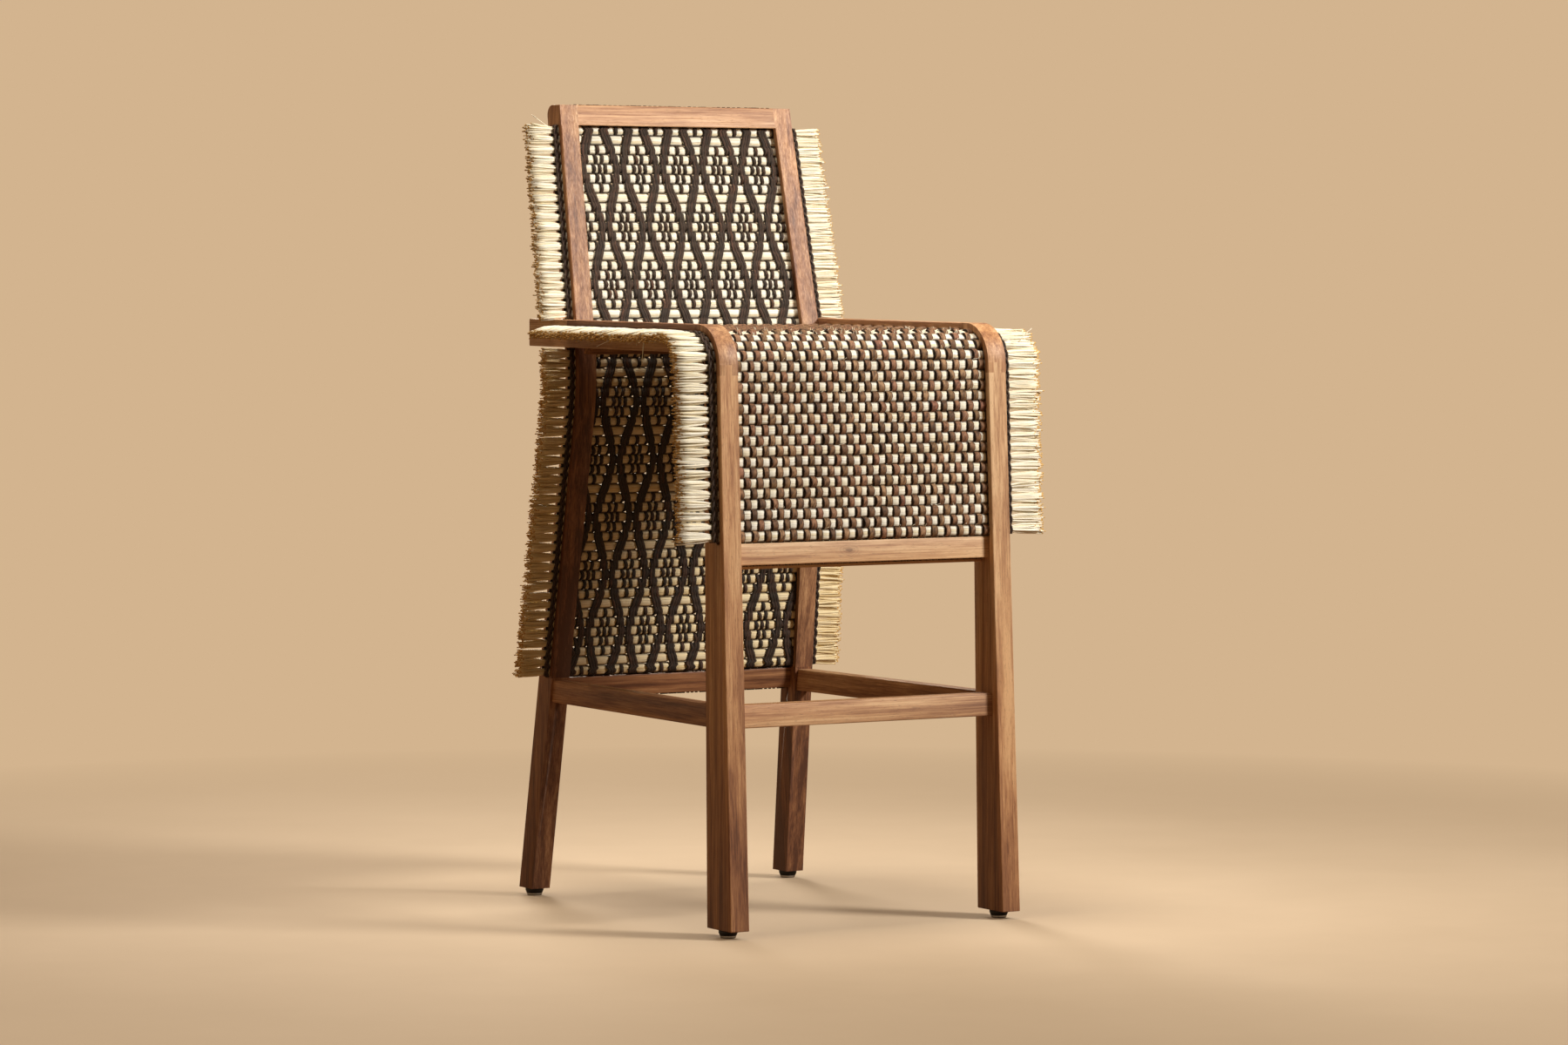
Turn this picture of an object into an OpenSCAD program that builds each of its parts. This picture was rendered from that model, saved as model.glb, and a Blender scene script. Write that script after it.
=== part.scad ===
// Bar stool with a hardwood frame, a woven straw seat that rolls over the
// front as an apron, and a woven straw back that runs on below the seat.
// Millimetres, Z up, front towards -Y, floor at Z = 0, left is -X.

/* [Overall] */
// Height of the side frames at the front of the seat
seat_h = 760; // [700:5:800]
// Height of the top of the back posts
back_h = 1045; // [1010:5:1100]
// Width over the side frames at the seat
front_w = 422; // [400:2:460]
// Width of each leg, post and strip, across the stool
frame_w = 26.5; // [24:0.5:30]
// Thickness of the feet under the legs
foot_h = 10; // [7:0.5:14]

/* [Side frames] */
// Length of a side rail along the seat
seat_d = 495; // [480:5:540]
// How far the rear end of the seat stands above its front
seat_rise = 4; // [0:1:12]
// Height of a side rail with its mat and strip
rail_stack = 35.5; // [33:0.5:42]
// Thickness of the strips that cover the edges of the mats
strip_t = 8; // [6:0.5:10]
// Radius of the rounded front corner
corner_r = 52; // [46:1:60]
// Depth of a front leg at the seat
leg_top_d = 37; // [36:0.5:44]
// Depth of a front leg at the floor
leg_foot_d = 60; // [54:1:68]
// How far the front face comes forward from seat to floor
front_rake = 35; // [20:1:45]
// How far each front leg leans outwards from seat to floor
front_splay = 3; // [0:0.5:5]
// Length of the straight run between the corner's curve and its joints
joint_run = 13; // [10:1:16]
// Length of the tongues in the corner joints
tongue_l = 13; // [10:1:16]

/* [Rear legs] */
// Depth of a rear leg, from front to back
post_d = 36; // [34:0.5:42]
// Height of the bend in the rear legs
bend_z = 688; // [670:2:700]
// How far the side rails stand out behind the bend of the rear legs
rail_tail = 96; // [90:1:110]
// How far the foot of a rear leg stands behind the bend
foot_back = 97; // [70:1:110]
// How far the top of a rear leg leans behind the bend
top_back = 76; // [60:1:90]
// Half height of the curved stretch of the bend
bend_half = 52; // [20:2:60]
// How much less the width over the rear legs is at the floor than over the front
post_foot_in = 3; // [0:1:6]
// How much less the width over the rear legs is at the top of the back
post_top_in = 70; // [66:1:76]
// Radius of the rear corner at the top of a post
post_round = 12; // [6:1:16]

/* [Rails] */
// Height of the rails that close the mats
mat_rail_h = 27; // [24:1:30]
// Thickness of the rails that close the mats
mat_rail_t = 14; // [12:0.5:16]
// Height of the top of the apron rail
apron_z = 489; // [470:1:500]
// How far the apron rail stands behind the front of the legs
apron_set = 11; // [10:0.5:12]
// How far the rear bottom rail stands behind the front of the rear legs
rear_set = 12; // [10:0.5:13]
// Height of the top of the footrest and the side stretchers
footrest_z = 289; // [260:1:310]
// Height of the footrest and the side stretchers
footrest_h = 29; // [26:1:32]
// Thickness of the footrest and the side stretchers
footrest_t = 20; // [18:0.5:22]
// How far the footrest stands behind the front of the legs
footrest_set = 12; // [10:0.5:16]
// Height of the top of the rear bottom rail
rear_rail_z = 291; // [262:1:312]
// How far the side stretchers stand in from the outer faces of the legs
stretcher_set = 3; // [2:0.5:4]
// Thickness of the battens that clamp the strips of the mats
batten_t = 7.5; // [6:0.5:8]

/* [Mats] */
// Thickness of the straw mats
mat_t = 11; // [9:0.5:12]
// Thickness of the woven strips where they pass a rail
weft_t = 2.4; // [1.6:0.2:2.8]
// Spacing of the straw bundles in the seat
seat_pitch = 13.3; // [12.5:0.1:15]
// Spacing of the straw bundles in the back
back_pitch = 12.7; // [11.5:0.1:14]
// Distance from the rear end of the woven seat to the bend of the rear legs
seat_mat_gap = 9; // [8:1:20]
// Width of the braided edge of the seat
seat_braid = 11; // [8:0.5:14]
// Width of the braided edge of the back
back_braid = 9.5; // [7:0.5:12]
// Length of the straw fringe along the seat
seat_fringe = 47; // [36:1:52]
// Length of the straw fringe along the back
back_fringe = 39; // [30:1:44]
// How far the woven strips stand out past the rails
strip_end = 2.5; // [1.5:0.5:4]

/* [Hardware] */
// Diameter of the dowels in the mat rails
dowel_d = 6; // [5:0.5:7]
// Diameter of the dowels in the footrest and stretchers
big_dowel_d = 8; // [7:0.5:9]
// Length of a dowel
dowel_l = 24; // [18:1:28]
// Diameter of the rubber feet at the wood
foot_d = 24; // [20:0.5:26]
// Diameter of the steel base of a foot
base_d = 20; // [16:0.5:22]
// Diameter of the foot screws
foot_screw_d = 4; // [3.5:0.5:5]
// Depth of the foot screws in the wood of the legs
foot_screw_bite = 22; // [18:1:30]
// Diameter of the screws that hold the side rails to the posts
rail_screw_d = 4; // [3.5:0.5:5]
// Diameter of the screws in the battens
batten_screw_d = 3; // [2.5:0.5:3.5]

/* [Hidden] */
$fn = 32;
// Fits: a mat in its slot, a dowel in its hole, and the ends of a hole
slot_fit = 0.1;
dowel_fit = 0.05;
end_fit = 0.4;
// Gaps: a mat on its rail, a batten and the ends of the strips off the legs
lay_gap = 0.2;
batten_gap = 1;
strip_gap = 3;
// Run of solid rail behind the end of the seat mat's bed
mat_end_gap = 2;
wood = [0.45, 0.27, 0.17];
straw = [0.90, 0.84, 0.66];
strips = [0.24, 0.17, 0.13];
steel = [0.62, 0.62, 0.60];
rubber = [0.08, 0.08, 0.08];
// Depth from the outer face of a side frame to the wood behind the mat
lay_t = strip_t + mat_t;
mid_d = strip_t + mat_t / 2;
// The rear legs and the seat mat follow the width and length of the side rails
bend_back = seat_d - rail_tail;
seat_mat_l = bend_back - seat_mat_gap;
post_foot_w = front_w - post_foot_in;
post_top_w = front_w - post_top_in;
// The origin is under the middle of the stool
front_reach = front_rake * (1 - foot_h / seat_h);
rear_reach = bend_back + post_d + max(foot_back * (1 - foot_h / bend_z), top_back);
y0 = -(rear_reach - front_reach) / 2;

// Front legs: the outer line starts at the corner point (y0, seat_h)
rake_a = atan(front_rake / seat_h);
rise_a = atan(seat_rise / seat_d);
function front_y(z, d = 0) = y0 - front_rake * (seat_h - z) / seat_h + d / cos(rake_a);
leg_back_step = (leg_foot_d - front_rake - leg_top_d) / seat_h;
function leg_back_y(z) = y0 + leg_top_d + leg_back_step * (seat_h - z);
function rail_z(y, d = 0) = seat_h + (y - y0) * tan(rise_a) - d / cos(rise_a);
function leg_x(z) = front_w / 2 + front_splay * (seat_h - z) / seat_h;

// Rounded front corner, measured from its centre
turn_a = 90 - rake_a - rise_a;
bend_l = corner_r * tan(turn_a / 2);
corner_c = [y0, seat_h] + bend_l * [cos(rise_a), sin(rise_a)]
    + corner_r * [sin(rise_a), -cos(rise_a)];
function arc_pt(a, d = 0) = corner_c + (corner_r - d) * [cos(90 + rise_a + a), sin(90 + rise_a + a)];
function corner_arc(d, n = 24) = [for (i = [0 : n]) arc_pt(turn_a * i / n, d)];
strip_joint_z = seat_h - bend_l - joint_run;
strip_joint_y = y0 + bend_l + joint_run;
// The joints of the block lie past those of its strip
stagger = 3;
block_joint_z = strip_joint_z - tongue_l - stagger;
block_joint_y = strip_joint_y + tongue_l + stagger;
shoulder_y = y0 + seat_mat_l + mat_end_gap;
// Where the underside of the rail meets the back of the leg
under_w = (rail_stack / cos(rise_a) - leg_top_d * tan(rise_a)) / (1 + leg_back_step * tan(rise_a));
under_corner = [leg_back_y(seat_h - under_w), seat_h - under_w];

// Rear legs: straight, with a smooth bend at bend_z
low_slope = -foot_back / bend_z;
top_slope = top_back / (back_h - bend_z);
function bent(t) = t <= -bend_half ? low_slope * t
    : t >= bend_half ? top_slope * t
    : low_slope * t + (top_slope - low_slope) * pow(t + bend_half, 2) / (4 * bend_half);
function post_y(z, d = 0) = y0 + bend_back + bent(z - bend_z) + d;
function post_x(z) = (post_foot_w + (post_top_w - post_foot_w) * z / back_h) / 2;
function levels(z1, z2, n = 14) = concat([z1],
    [for (i = [0 : n]) let (z = bend_z + bend_half * (2 * i / n - 1)) if (z > z1 && z < z2) z], [z2]);
function post_line(d, z1, z2) = [for (z = levels(z1, z2)) [post_y(z, d), z]];
function back_to_front(p) = [for (i = [len(p) - 1 : -1 : 0]) p[i]];

// Heights where the mats start and end
top_rail_z = back_h - mat_rail_h;
low_shoulder_z = rear_rail_z + 1;
back_mat_z1 = rear_rail_z + weft_t + lay_gap;
back_mat_z2 = top_rail_z - lay_gap;
apron_mat_z = apron_z + weft_t + lay_gap;
back_split_z = rail_z(post_y(seat_h), rail_stack / 2);

// Path of the seat mat: s runs from the rear, over the corner, down the front
seat_run = (seat_mat_l - bend_l) / cos(rise_a);
curve_run = (corner_r - mid_d) * turn_a * PI / 180;
front_run = (seat_h - apron_mat_z) / cos(rake_a) - bend_l;
mat_run = seat_run + curve_run + front_run;
seat_rows = round(mat_run / seat_pitch);
seat_row = mat_run / seat_rows;
function back_count(z1, z2) = round((z2 - z1) / back_pitch);
function curve_share(s) = max(0, min(1, (s - seat_run) / curve_run));
function path_a(s) = rise_a + turn_a * curve_share(s);
function path_pt(s, out = 0) = s < seat_run
    ? arc_pt(0, mid_d - out) + (seat_run - s) * [cos(rise_a), sin(rise_a)]
    : arc_pt(turn_a * curve_share(s), mid_d - out)
        + max(0, s - seat_run - curve_run) * [-sin(rake_a), -cos(rake_a)];
// Half thickness of a mat across one bundle, with u from -0.5 to 0.5
function bundle(u, t, web) = max(web / 2, t / 2 * sqrt(max(0, 1 - pow(u / 0.48, 2))));
// Outlines along a mat, with steps points for each bundle
function seat_line(side, t, web, steps, n1, n2) = [for (i = [0 : (n2 - n1) * steps])
    let (k = i / steps, u = k - floor(k) - 0.5)
    path_pt((n1 + k) * seat_row, side * bundle(u, t, web))];
function back_line(side, t, web, steps, z1, z2) = let (n = back_count(z1, z2))
    [for (i = [0 : n * steps]) let (k = i / steps, u = k - floor(k) - 0.5, z = z1 + k * (z2 - z1) / n)
        [post_y(z, mid_d) + side * bundle(u, t, web), z]];
function seat_band(t, web, steps, n1, n2) = concat(seat_line(1, t, web, steps, n1, n2),
    back_to_front(seat_line(-1, t, web, steps, n1, n2)));
function back_band(t, web, steps, z1, z2) = concat(back_line(1, t, web, steps, z1, z2),
    back_to_front(back_line(-1, t, web, steps, z1, z2)));

// Rounds the corner at b between a and c
function fillet(a, b, c, r, n = 6) = let (
    u = (a - b) / norm(a - b), v = (c - b) / norm(c - b), half = acos(u * v) / 2,
    o = b + (u + v) / norm(u + v) * r / sin(half),
    p = b + u * r / tan(half) - o, q = b + v * r / tan(half) - o,
    a0 = atan2(p[1], p[0]), d0 = atan2(q[1], q[0]) - a0,
    da = d0 > 180 ? d0 - 360 : d0 < -180 ? d0 + 360 : d0)
    [for (i = [0 : n]) o + r * [cos(a0 + da * i / n), sin(a0 + da * i / n)]];

// Extrudes an outline drawn in Y and Z along X
module along_x(x1, x2) {
    translate([x1, 0, 0]) rotate([90, 0, 90]) linear_extrude(x2 - x1) children();
}

// Extrudes an outline drawn in X and Z along the whole depth
module along_y() {
    translate([0, seat_d, 0]) rotate([90, 0, 0]) linear_extrude(2 * seat_d) children();
}

module on_side(side) {
    if (side > 0) children();
    else mirror([1, 0, 0]) children();
}

// Slice of a side frame across its width, from share f1 to share f2
module leg_slice(f1, f2) {
    intersection() {
        along_x(0, front_w) children();
        along_y() polygon([
            [leg_x(0) - frame_w * (1 - f1), 0], [leg_x(0) - frame_w * (1 - f2), 0],
            [leg_x(back_h) - frame_w * (1 - f2), back_h], [leg_x(back_h) - frame_w * (1 - f1), back_h]
        ]);
    }
}

// Slice of a rear leg or of what lies beside it, from x1 to x2 off its outer face
module post_slice(x1 = -frame_w, x2 = 0) {
    intersection() {
        along_x(0, front_w) children();
        along_y() polygon([
            [post_x(0) + x1, 0], [post_x(0) + x2, 0],
            [post_x(back_h) + x2, back_h], [post_x(back_h) + x1, back_h]
        ]);
    }
}

// Cuts a cross rail to fit between the two front legs
module between_legs(gap = 0) {
    intersection() {
        along_x(-front_w, front_w) children();
        along_y() polygon([
            for (p = [[-1, 0], [1, 0], [1, back_h], [-1, back_h]])
                [p[0] * (leg_x(p[1]) - frame_w - gap), p[1]]
        ]);
    }
}

// Cuts a cross rail to fit between the two rear legs, up to height h
module between_posts(gap = 0, h = back_h) {
    intersection() {
        along_x(-front_w, front_w) children();
        along_y() polygon([
            for (p = [[-1, 0], [1, 0], [1, h], [-1, h]])
                [p[0] * (post_x(p[1]) - frame_w - gap), p[1]]
        ]);
    }
}

// Keeps what lies above or below a height, or behind or in front of a place
module above(z) translate([-back_h, -back_h, z]) cube(2 * back_h);
module below(z) translate([-back_h, -back_h, z - 2 * back_h]) cube(2 * back_h);
module behind(y) translate([-back_h, y, -back_h]) cube(2 * back_h);
module ahead(y) translate([-back_h, y - 2 * back_h, -back_h]) cube(2 * back_h);

// Inner layer of a side frame: leg, corner and rail in one outline
rail_end = [y0 + seat_d, rail_z(y0 + seat_d)];
module inner_outline() {
    polygon(concat(
        fillet([shoulder_y, rail_z(shoulder_y, rail_stack)], rail_end - [0, rail_stack], rail_end, 2),
        fillet(rail_end - [0, rail_stack], rail_end, [shoulder_y, rail_z(shoulder_y)], 2),
        [[shoulder_y, rail_z(shoulder_y)], [shoulder_y, rail_z(shoulder_y, lay_t)]],
        corner_arc(lay_t),
        [[front_y(apron_z, lay_t), apron_z], [front_y(apron_z, strip_t), apron_z]],
        [[front_y(foot_h, strip_t), foot_h], [leg_back_y(foot_h), foot_h]],
        fillet([leg_back_y(foot_h), foot_h], under_corner,
            [shoulder_y, rail_z(shoulder_y, rail_stack)], corner_r - rail_stack)
    ));
}

// Outer layer of a side frame: the strip over the edge of the mat
module outer_outline() {
    polygon(concat(
        [[shoulder_y, rail_z(shoulder_y, strip_t)], [shoulder_y, rail_z(shoulder_y)]],
        corner_arc(0),
        [[front_y(foot_h), foot_h], [front_y(foot_h, strip_t), foot_h]],
        back_to_front(corner_arc(strip_t))
    ));
}

// Tongues of the corner joints, the middle third of the frame, each one
// drawn from a little inside its own piece
tongue_root = 2;
module leg_tongue(z) {
    intersection() {
        leg_slice(1 / 3, 2 / 3) children();
        above(z - tongue_root);
        below(z + tongue_l);
    }
}

module rail_tongue(y) {
    intersection() {
        leg_slice(1 / 3, 2 / 3) children();
        behind(y - tongue_l);
        ahead(y + tongue_root);
        above(seat_h - corner_r);
    }
}

// Holes and dowels share these places, on both sides of the stool
module cross_dowels(x, y, z, step, d, l) {
    for (side = [-1, 1], k = [-0.5, 0.5])
        translate([side * x, y, z + k * step]) rotate([0, 90, 0])
            cylinder(h = l, d = d, center = true);
}

// The top rail is full, the others stand behind the front of the legs
top_rail_t = mat_rail_t + 2;
apron_mid_z = apron_z - mat_rail_h / 2;
rear_mid_z = rear_rail_z - mat_rail_h / 2;
top_mid_z = back_h - mat_rail_h / 2;
foot_mid_z = footrest_z - footrest_h / 2;
seat_rear_y = shoulder_y - mat_rail_t - weft_t - 2 * mat_end_gap;
seat_rear_top = rail_z(seat_rear_y + mat_rail_t, lay_t + lay_gap);
seat_rear_h = rail_stack - lay_t + mat_rail_h / 3;
seat_rear_z = seat_rear_top - seat_rear_h / 2;
dowel_step = mat_rail_h / 2;

module mat_dowels(d, l) {
    cross_dowels(leg_x(apron_mid_z) - frame_w,
        front_y(apron_mid_z, apron_set + mat_rail_t / 2), apron_mid_z, dowel_step, d, l);
    cross_dowels(post_x(rear_mid_z) - frame_w,
        post_y(rear_mid_z, rear_set + mat_rail_t / 2), rear_mid_z, dowel_step, d, l);
    cross_dowels(post_x(top_mid_z) - frame_w,
        post_y(top_mid_z, top_rail_t / 2), top_mid_z, dowel_step, d, l);
}

// The rear rail of the seat is dowelled through the thin part of each side rail
module seat_rear_dowels(d, l) {
    for (side = [-1, 1])
        translate([side * (leg_x(seat_rear_z) - frame_w), seat_rear_y + mat_rail_t / 2,
            seat_rear_top - (rail_stack - lay_t) / 2])
            rotate([0, 90, 0]) cylinder(h = l, d = d, center = true);
}

module big_dowels(d, l) {
    cross_dowels(leg_x(foot_mid_z) - frame_w, front_y(foot_mid_z, footrest_set + footrest_t / 2),
        foot_mid_z, footrest_h / 2, d, l);
    for (side = [-1, 1], k = [-0.25, 0.25])
        let (z = foot_mid_z + k * footrest_h) {
            translate([side * stretcher_x(leg_x(z)), leg_back_y(z), z])
                rotate([90, 0, 0]) cylinder(h = l, d = d, center = true);
            translate([side * stretcher_x(post_x(z)), post_y(z), z])
                rotate([90, 0, 0]) cylinder(h = l, d = d, center = true);
        }
}

function stretcher_x(face) = face - stretcher_set - footrest_t / 2;

// One sunk screw and one dowel, at share k of its height, join a rail to its post
screw_sink = 4;
screw_bite = 14;
screw_head_r = rail_screw_d - 0.2;
module rail_joint_sites(k) {
    z = rail_z(post_y(seat_h), rail_stack * k);
    for (side = [-1, 1])
        translate([side * leg_x(z), post_y(z, (lay_t + post_d) / 2), z])
            rotate([0, -90 * side, 0]) children();
}

module rail_screw_shape(fit) {
    rail_joint_sites(0.62) {
        translate([0, 0, screw_sink - fit])
            cylinder(h = rail_screw_d / 2 + 2 * fit, r = screw_head_r + fit);
        translate([0, 0, screw_sink])
            cylinder(h = frame_w + screw_bite + fit, d = rail_screw_d + 2 * fit);
    }
}

// The hole of a sunk head is open to the outer face
module rail_screw_hole() {
    rail_screw_shape(dowel_fit);
    rail_joint_sites(0.62) translate([0, 0, -1])
        cylinder(h = screw_sink + 2, r = screw_head_r + dowel_fit);
}

module rail_post_dowels(d, l) {
    rail_joint_sites(0.25) translate([0, 0, frame_w]) cylinder(h = l, d = d, center = true);
}

// Screws through a batten into its rail, along the rail from end to end
module screw_row(half, y, z, a) {
    for (k = [-1, -1 / 3, 1 / 3, 1])
        translate([k * half, y, z]) rotate([a, 0, 0]) rotate([90, 0, 0]) children();
}

// A batten stands this far behind the front of its rail
batten_front = mat_rail_t + weft_t + 2 * lay_gap;
batten_back = batten_front + batten_t;
// Place of the outer screws from the ends of a batten
batten_margin = 25;
module batten_screw_sites() {
    screw_row(front_w / 2 - frame_w - batten_margin,
        front_y(apron_mid_z, apron_set + batten_back), apron_mid_z, -rake_a) children();
    screw_row(post_top_w / 2 - frame_w - batten_margin,
        post_y(top_mid_z, top_rail_t + weft_t + lay_gap + batten_t), top_mid_z,
        -atan(top_slope)) children();
    screw_row(post_x(rear_mid_z) - frame_w - batten_margin,
        post_y(rear_mid_z, rear_set + batten_back), rear_mid_z, -atan(low_slope)) children();
    screw_row(front_w / 2 - frame_w - batten_margin,
        seat_rear_y + batten_back, seat_rear_z, 0) children();
}

// Flat heads, just under the face that they are sunk in
head_under = 0.4;
head_h = 1.5;
batten_screw_l = batten_t + weft_t + mat_rail_t - 3;
module batten_screw_shape(fit) {
    translate([0, 0, head_under - fit]) cylinder(h = head_h + fit, d = 2 * batten_screw_d + 2 * fit);
    translate([0, 0, head_under]) cylinder(h = batten_screw_l + fit, d = batten_screw_d + 2 * fit);
}

module batten_screw_hole() {
    batten_screw_shape(dowel_fit);
    translate([0, 0, -batten_t / 2])
        cylinder(h = batten_t / 2 + head_under + head_h / 2, d = 2 * batten_screw_d + 2 * dowel_fit);
}

// Feet stand under the middle of each leg
module foot_sites() {
    for (side = [-1, 1]) {
        translate([side * (leg_x(foot_h) - frame_w / 2), (front_y(foot_h) + leg_back_y(foot_h)) / 2, 0])
            children();
        translate([side * (post_x(foot_h) - frame_w / 2), post_y(foot_h, post_d / 2), 0]) children();
    }
}

foot_screw_l = foot_h + foot_screw_bite;
module foot_screw_shape(fit) {
    translate([0, 0, head_under - fit]) cylinder(h = head_h + fit, d = 2 * foot_screw_d + 2 * fit);
    translate([0, 0, head_under]) cylinder(h = foot_screw_l + fit, d = foot_screw_d + 2 * fit);
}

// Wooden pieces of the side frames, drawn on the right and mirrored
module front_leg(side) {
    color(wood) difference() {
        on_side(side) union() {
            intersection() {
                leg_slice(0, 1) inner_outline();
                below(block_joint_z);
            }
            leg_tongue(block_joint_z) inner_outline();
        }
        mat_dowels(dowel_d + 2 * dowel_fit, dowel_l + 2 * end_fit);
        big_dowels(big_dowel_d + 2 * dowel_fit, dowel_l + 2 * end_fit);
        foot_sites() foot_screw_shape(dowel_fit);
    }
}

module corner_block(side) {
    color(wood) on_side(side) difference() {
        intersection() {
            leg_slice(0, 1) inner_outline();
            above(block_joint_z);
            ahead(block_joint_y);
        }
        leg_tongue(block_joint_z) inner_outline();
        rail_tongue(block_joint_y) inner_outline();
    }
}

module seat_rail(side) {
    color(wood) difference() {
        on_side(side) union() {
            intersection() {
                leg_slice(0, 1) inner_outline();
                behind(block_joint_y);
            }
            rail_tongue(block_joint_y) inner_outline();
        }
        // Shallow housing for the post
        on_side(side) post_slice()
            polygon(concat(post_line(-slot_fit, seat_h - 2 * rail_stack, seat_h + rail_stack),
                back_to_front(post_line(post_d + slot_fit, seat_h - 2 * rail_stack, seat_h + rail_stack))));
        seat_rear_dowels(dowel_d + 2 * dowel_fit, dowel_l + 2 * end_fit);
        rail_post_dowels(dowel_d + 2 * dowel_fit, dowel_l + 2 * end_fit);
        rail_screw_hole();
    }
}

module front_strip(side) {
    color(wood) on_side(side) {
        intersection() {
            leg_slice(0, 1) outer_outline();
            below(strip_joint_z);
        }
        leg_tongue(strip_joint_z) outer_outline();
    }
}

module corner_strip(side) {
    color(wood) on_side(side) difference() {
        intersection() {
            leg_slice(0, 1) outer_outline();
            above(strip_joint_z);
            ahead(strip_joint_y);
        }
        leg_tongue(strip_joint_z) outer_outline();
        rail_tongue(strip_joint_y) outer_outline();
    }
}

module seat_strip(side) {
    color(wood) on_side(side) {
        intersection() {
            leg_slice(0, 1) outer_outline();
            behind(strip_joint_y);
        }
        rail_tongue(strip_joint_y) outer_outline();
    }
}

// Rear leg: one bent member, cut back for the mat between its shoulders
post_top = [post_y(back_h, post_d), back_h];
module rear_leg(side) {
    color(wood) difference() {
        on_side(side) post_slice() polygon(concat(
            [[post_y(foot_h), foot_h], [post_y(low_shoulder_z), low_shoulder_z]],
            post_line(lay_t, low_shoulder_z, top_rail_z),
            [[post_y(top_rail_z), top_rail_z], [post_y(back_h), back_h]],
            fillet([post_y(back_h), back_h], post_top, [post_y(seat_h, post_d), seat_h], post_round),
            back_to_front(post_line(post_d, foot_h, back_h - 2 * post_round))
        ));
        mat_dowels(dowel_d + 2 * dowel_fit, dowel_l + 2 * end_fit);
        big_dowels(big_dowel_d + 2 * dowel_fit, dowel_l + 2 * end_fit);
        rail_post_dowels(dowel_d + 2 * dowel_fit, dowel_l + 2 * end_fit);
        rail_screw_shape(dowel_fit);
        foot_sites() foot_screw_shape(dowel_fit);
    }
}

module post_strip(side, z1, z2) {
    color(wood) on_side(side) post_slice()
        polygon(concat(post_line(0, z1, z2), back_to_front(post_line(strip_t, z1, z2))));
}

// Rails and battens across the stool
module top_rail() {
    color(wood) difference() {
        between_posts() polygon(concat(
            [[post_y(top_rail_z), top_rail_z], [post_y(back_h), back_h]],
            [[post_y(back_h, top_rail_t), back_h], [post_y(top_rail_z, top_rail_t), top_rail_z]]
        ));
        mat_dowels(dowel_d + 2 * dowel_fit, dowel_l + 2 * end_fit);
        batten_screw_sites() batten_screw_shape(dowel_fit);
    }
}

module top_batten() {
    z = back_h - 3;
    d = top_rail_t + weft_t + lay_gap;
    color(wood) difference() {
        between_posts(batten_gap) polygon([
            [post_y(top_rail_z, d), top_rail_z], [post_y(z, d), z],
            [post_y(z, d + batten_t), z], [post_y(top_rail_z, d + batten_t), top_rail_z]
        ]);
        batten_screw_sites() batten_screw_hole();
    }
}

module rear_bottom_rail() {
    z = rear_rail_z - mat_rail_h;
    color(wood) difference() {
        between_posts() polygon([
            [post_y(z, rear_set), z], [post_y(rear_rail_z, rear_set), rear_rail_z],
            [post_y(rear_rail_z, rear_set + mat_rail_t), rear_rail_z], [post_y(z, rear_set + mat_rail_t), z]
        ]);
        mat_dowels(dowel_d + 2 * dowel_fit, dowel_l + 2 * end_fit);
        batten_screw_sites() batten_screw_shape(dowel_fit);
    }
}

module rear_bottom_batten() {
    z1 = rear_rail_z - mat_rail_h - 1;
    z2 = rear_rail_z - 5;
    d = rear_set + batten_front;
    color(wood) difference() {
        between_posts(batten_gap) polygon([
            [post_y(z1, d), z1], [post_y(z2, d), z2],
            [post_y(z2, d + batten_t), z2], [post_y(z1, d + batten_t), z1]
        ]);
        batten_screw_sites() batten_screw_hole();
    }
}

module apron_rail() {
    z = apron_z - mat_rail_h;
    color(wood) difference() {
        between_legs() polygon([
            [front_y(z, apron_set), z], [front_y(apron_z, apron_set), apron_z],
            [front_y(apron_z, apron_set + mat_rail_t), apron_z], [front_y(z, apron_set + mat_rail_t), z]
        ]);
        mat_dowels(dowel_d + 2 * dowel_fit, dowel_l + 2 * end_fit);
        batten_screw_sites() batten_screw_shape(dowel_fit);
    }
}

module apron_batten() {
    z1 = apron_z - mat_rail_h - 6;
    z2 = apron_z - 5;
    d = apron_set + batten_front;
    color(wood) difference() {
        between_legs(batten_gap) polygon([
            [front_y(z1, d), z1], [front_y(z2, d), z2],
            [front_y(z2, d + batten_t), z2], [front_y(z1, d + batten_t), z1]
        ]);
        batten_screw_sites() batten_screw_hole();
    }
}

module seat_rear_rail() {
    color(wood) difference() {
        between_legs() translate([seat_rear_y, seat_rear_top - seat_rear_h])
            square([mat_rail_t, seat_rear_h]);
        seat_rear_dowels(dowel_d + 2 * dowel_fit, dowel_l + 2 * end_fit);
        batten_screw_sites() batten_screw_shape(dowel_fit);
    }
}

module seat_rear_batten() {
    color(wood) difference() {
        between_legs(batten_gap)
            translate([seat_rear_y + batten_front, seat_rear_top - seat_rear_h])
                square([batten_t, seat_rear_h - 4]);
        batten_screw_sites() batten_screw_hole();
    }
}

module footrest_rail() {
    z = footrest_z - footrest_h;
    d = footrest_set + footrest_t;
    color(wood) difference() {
        between_legs() polygon([
            [front_y(z, footrest_set), z], [front_y(footrest_z, footrest_set), footrest_z],
            [front_y(footrest_z, d), footrest_z], [front_y(z, d), z]
        ]);
        big_dowels(big_dowel_d + 2 * dowel_fit, dowel_l + 2 * end_fit);
    }
}

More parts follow.
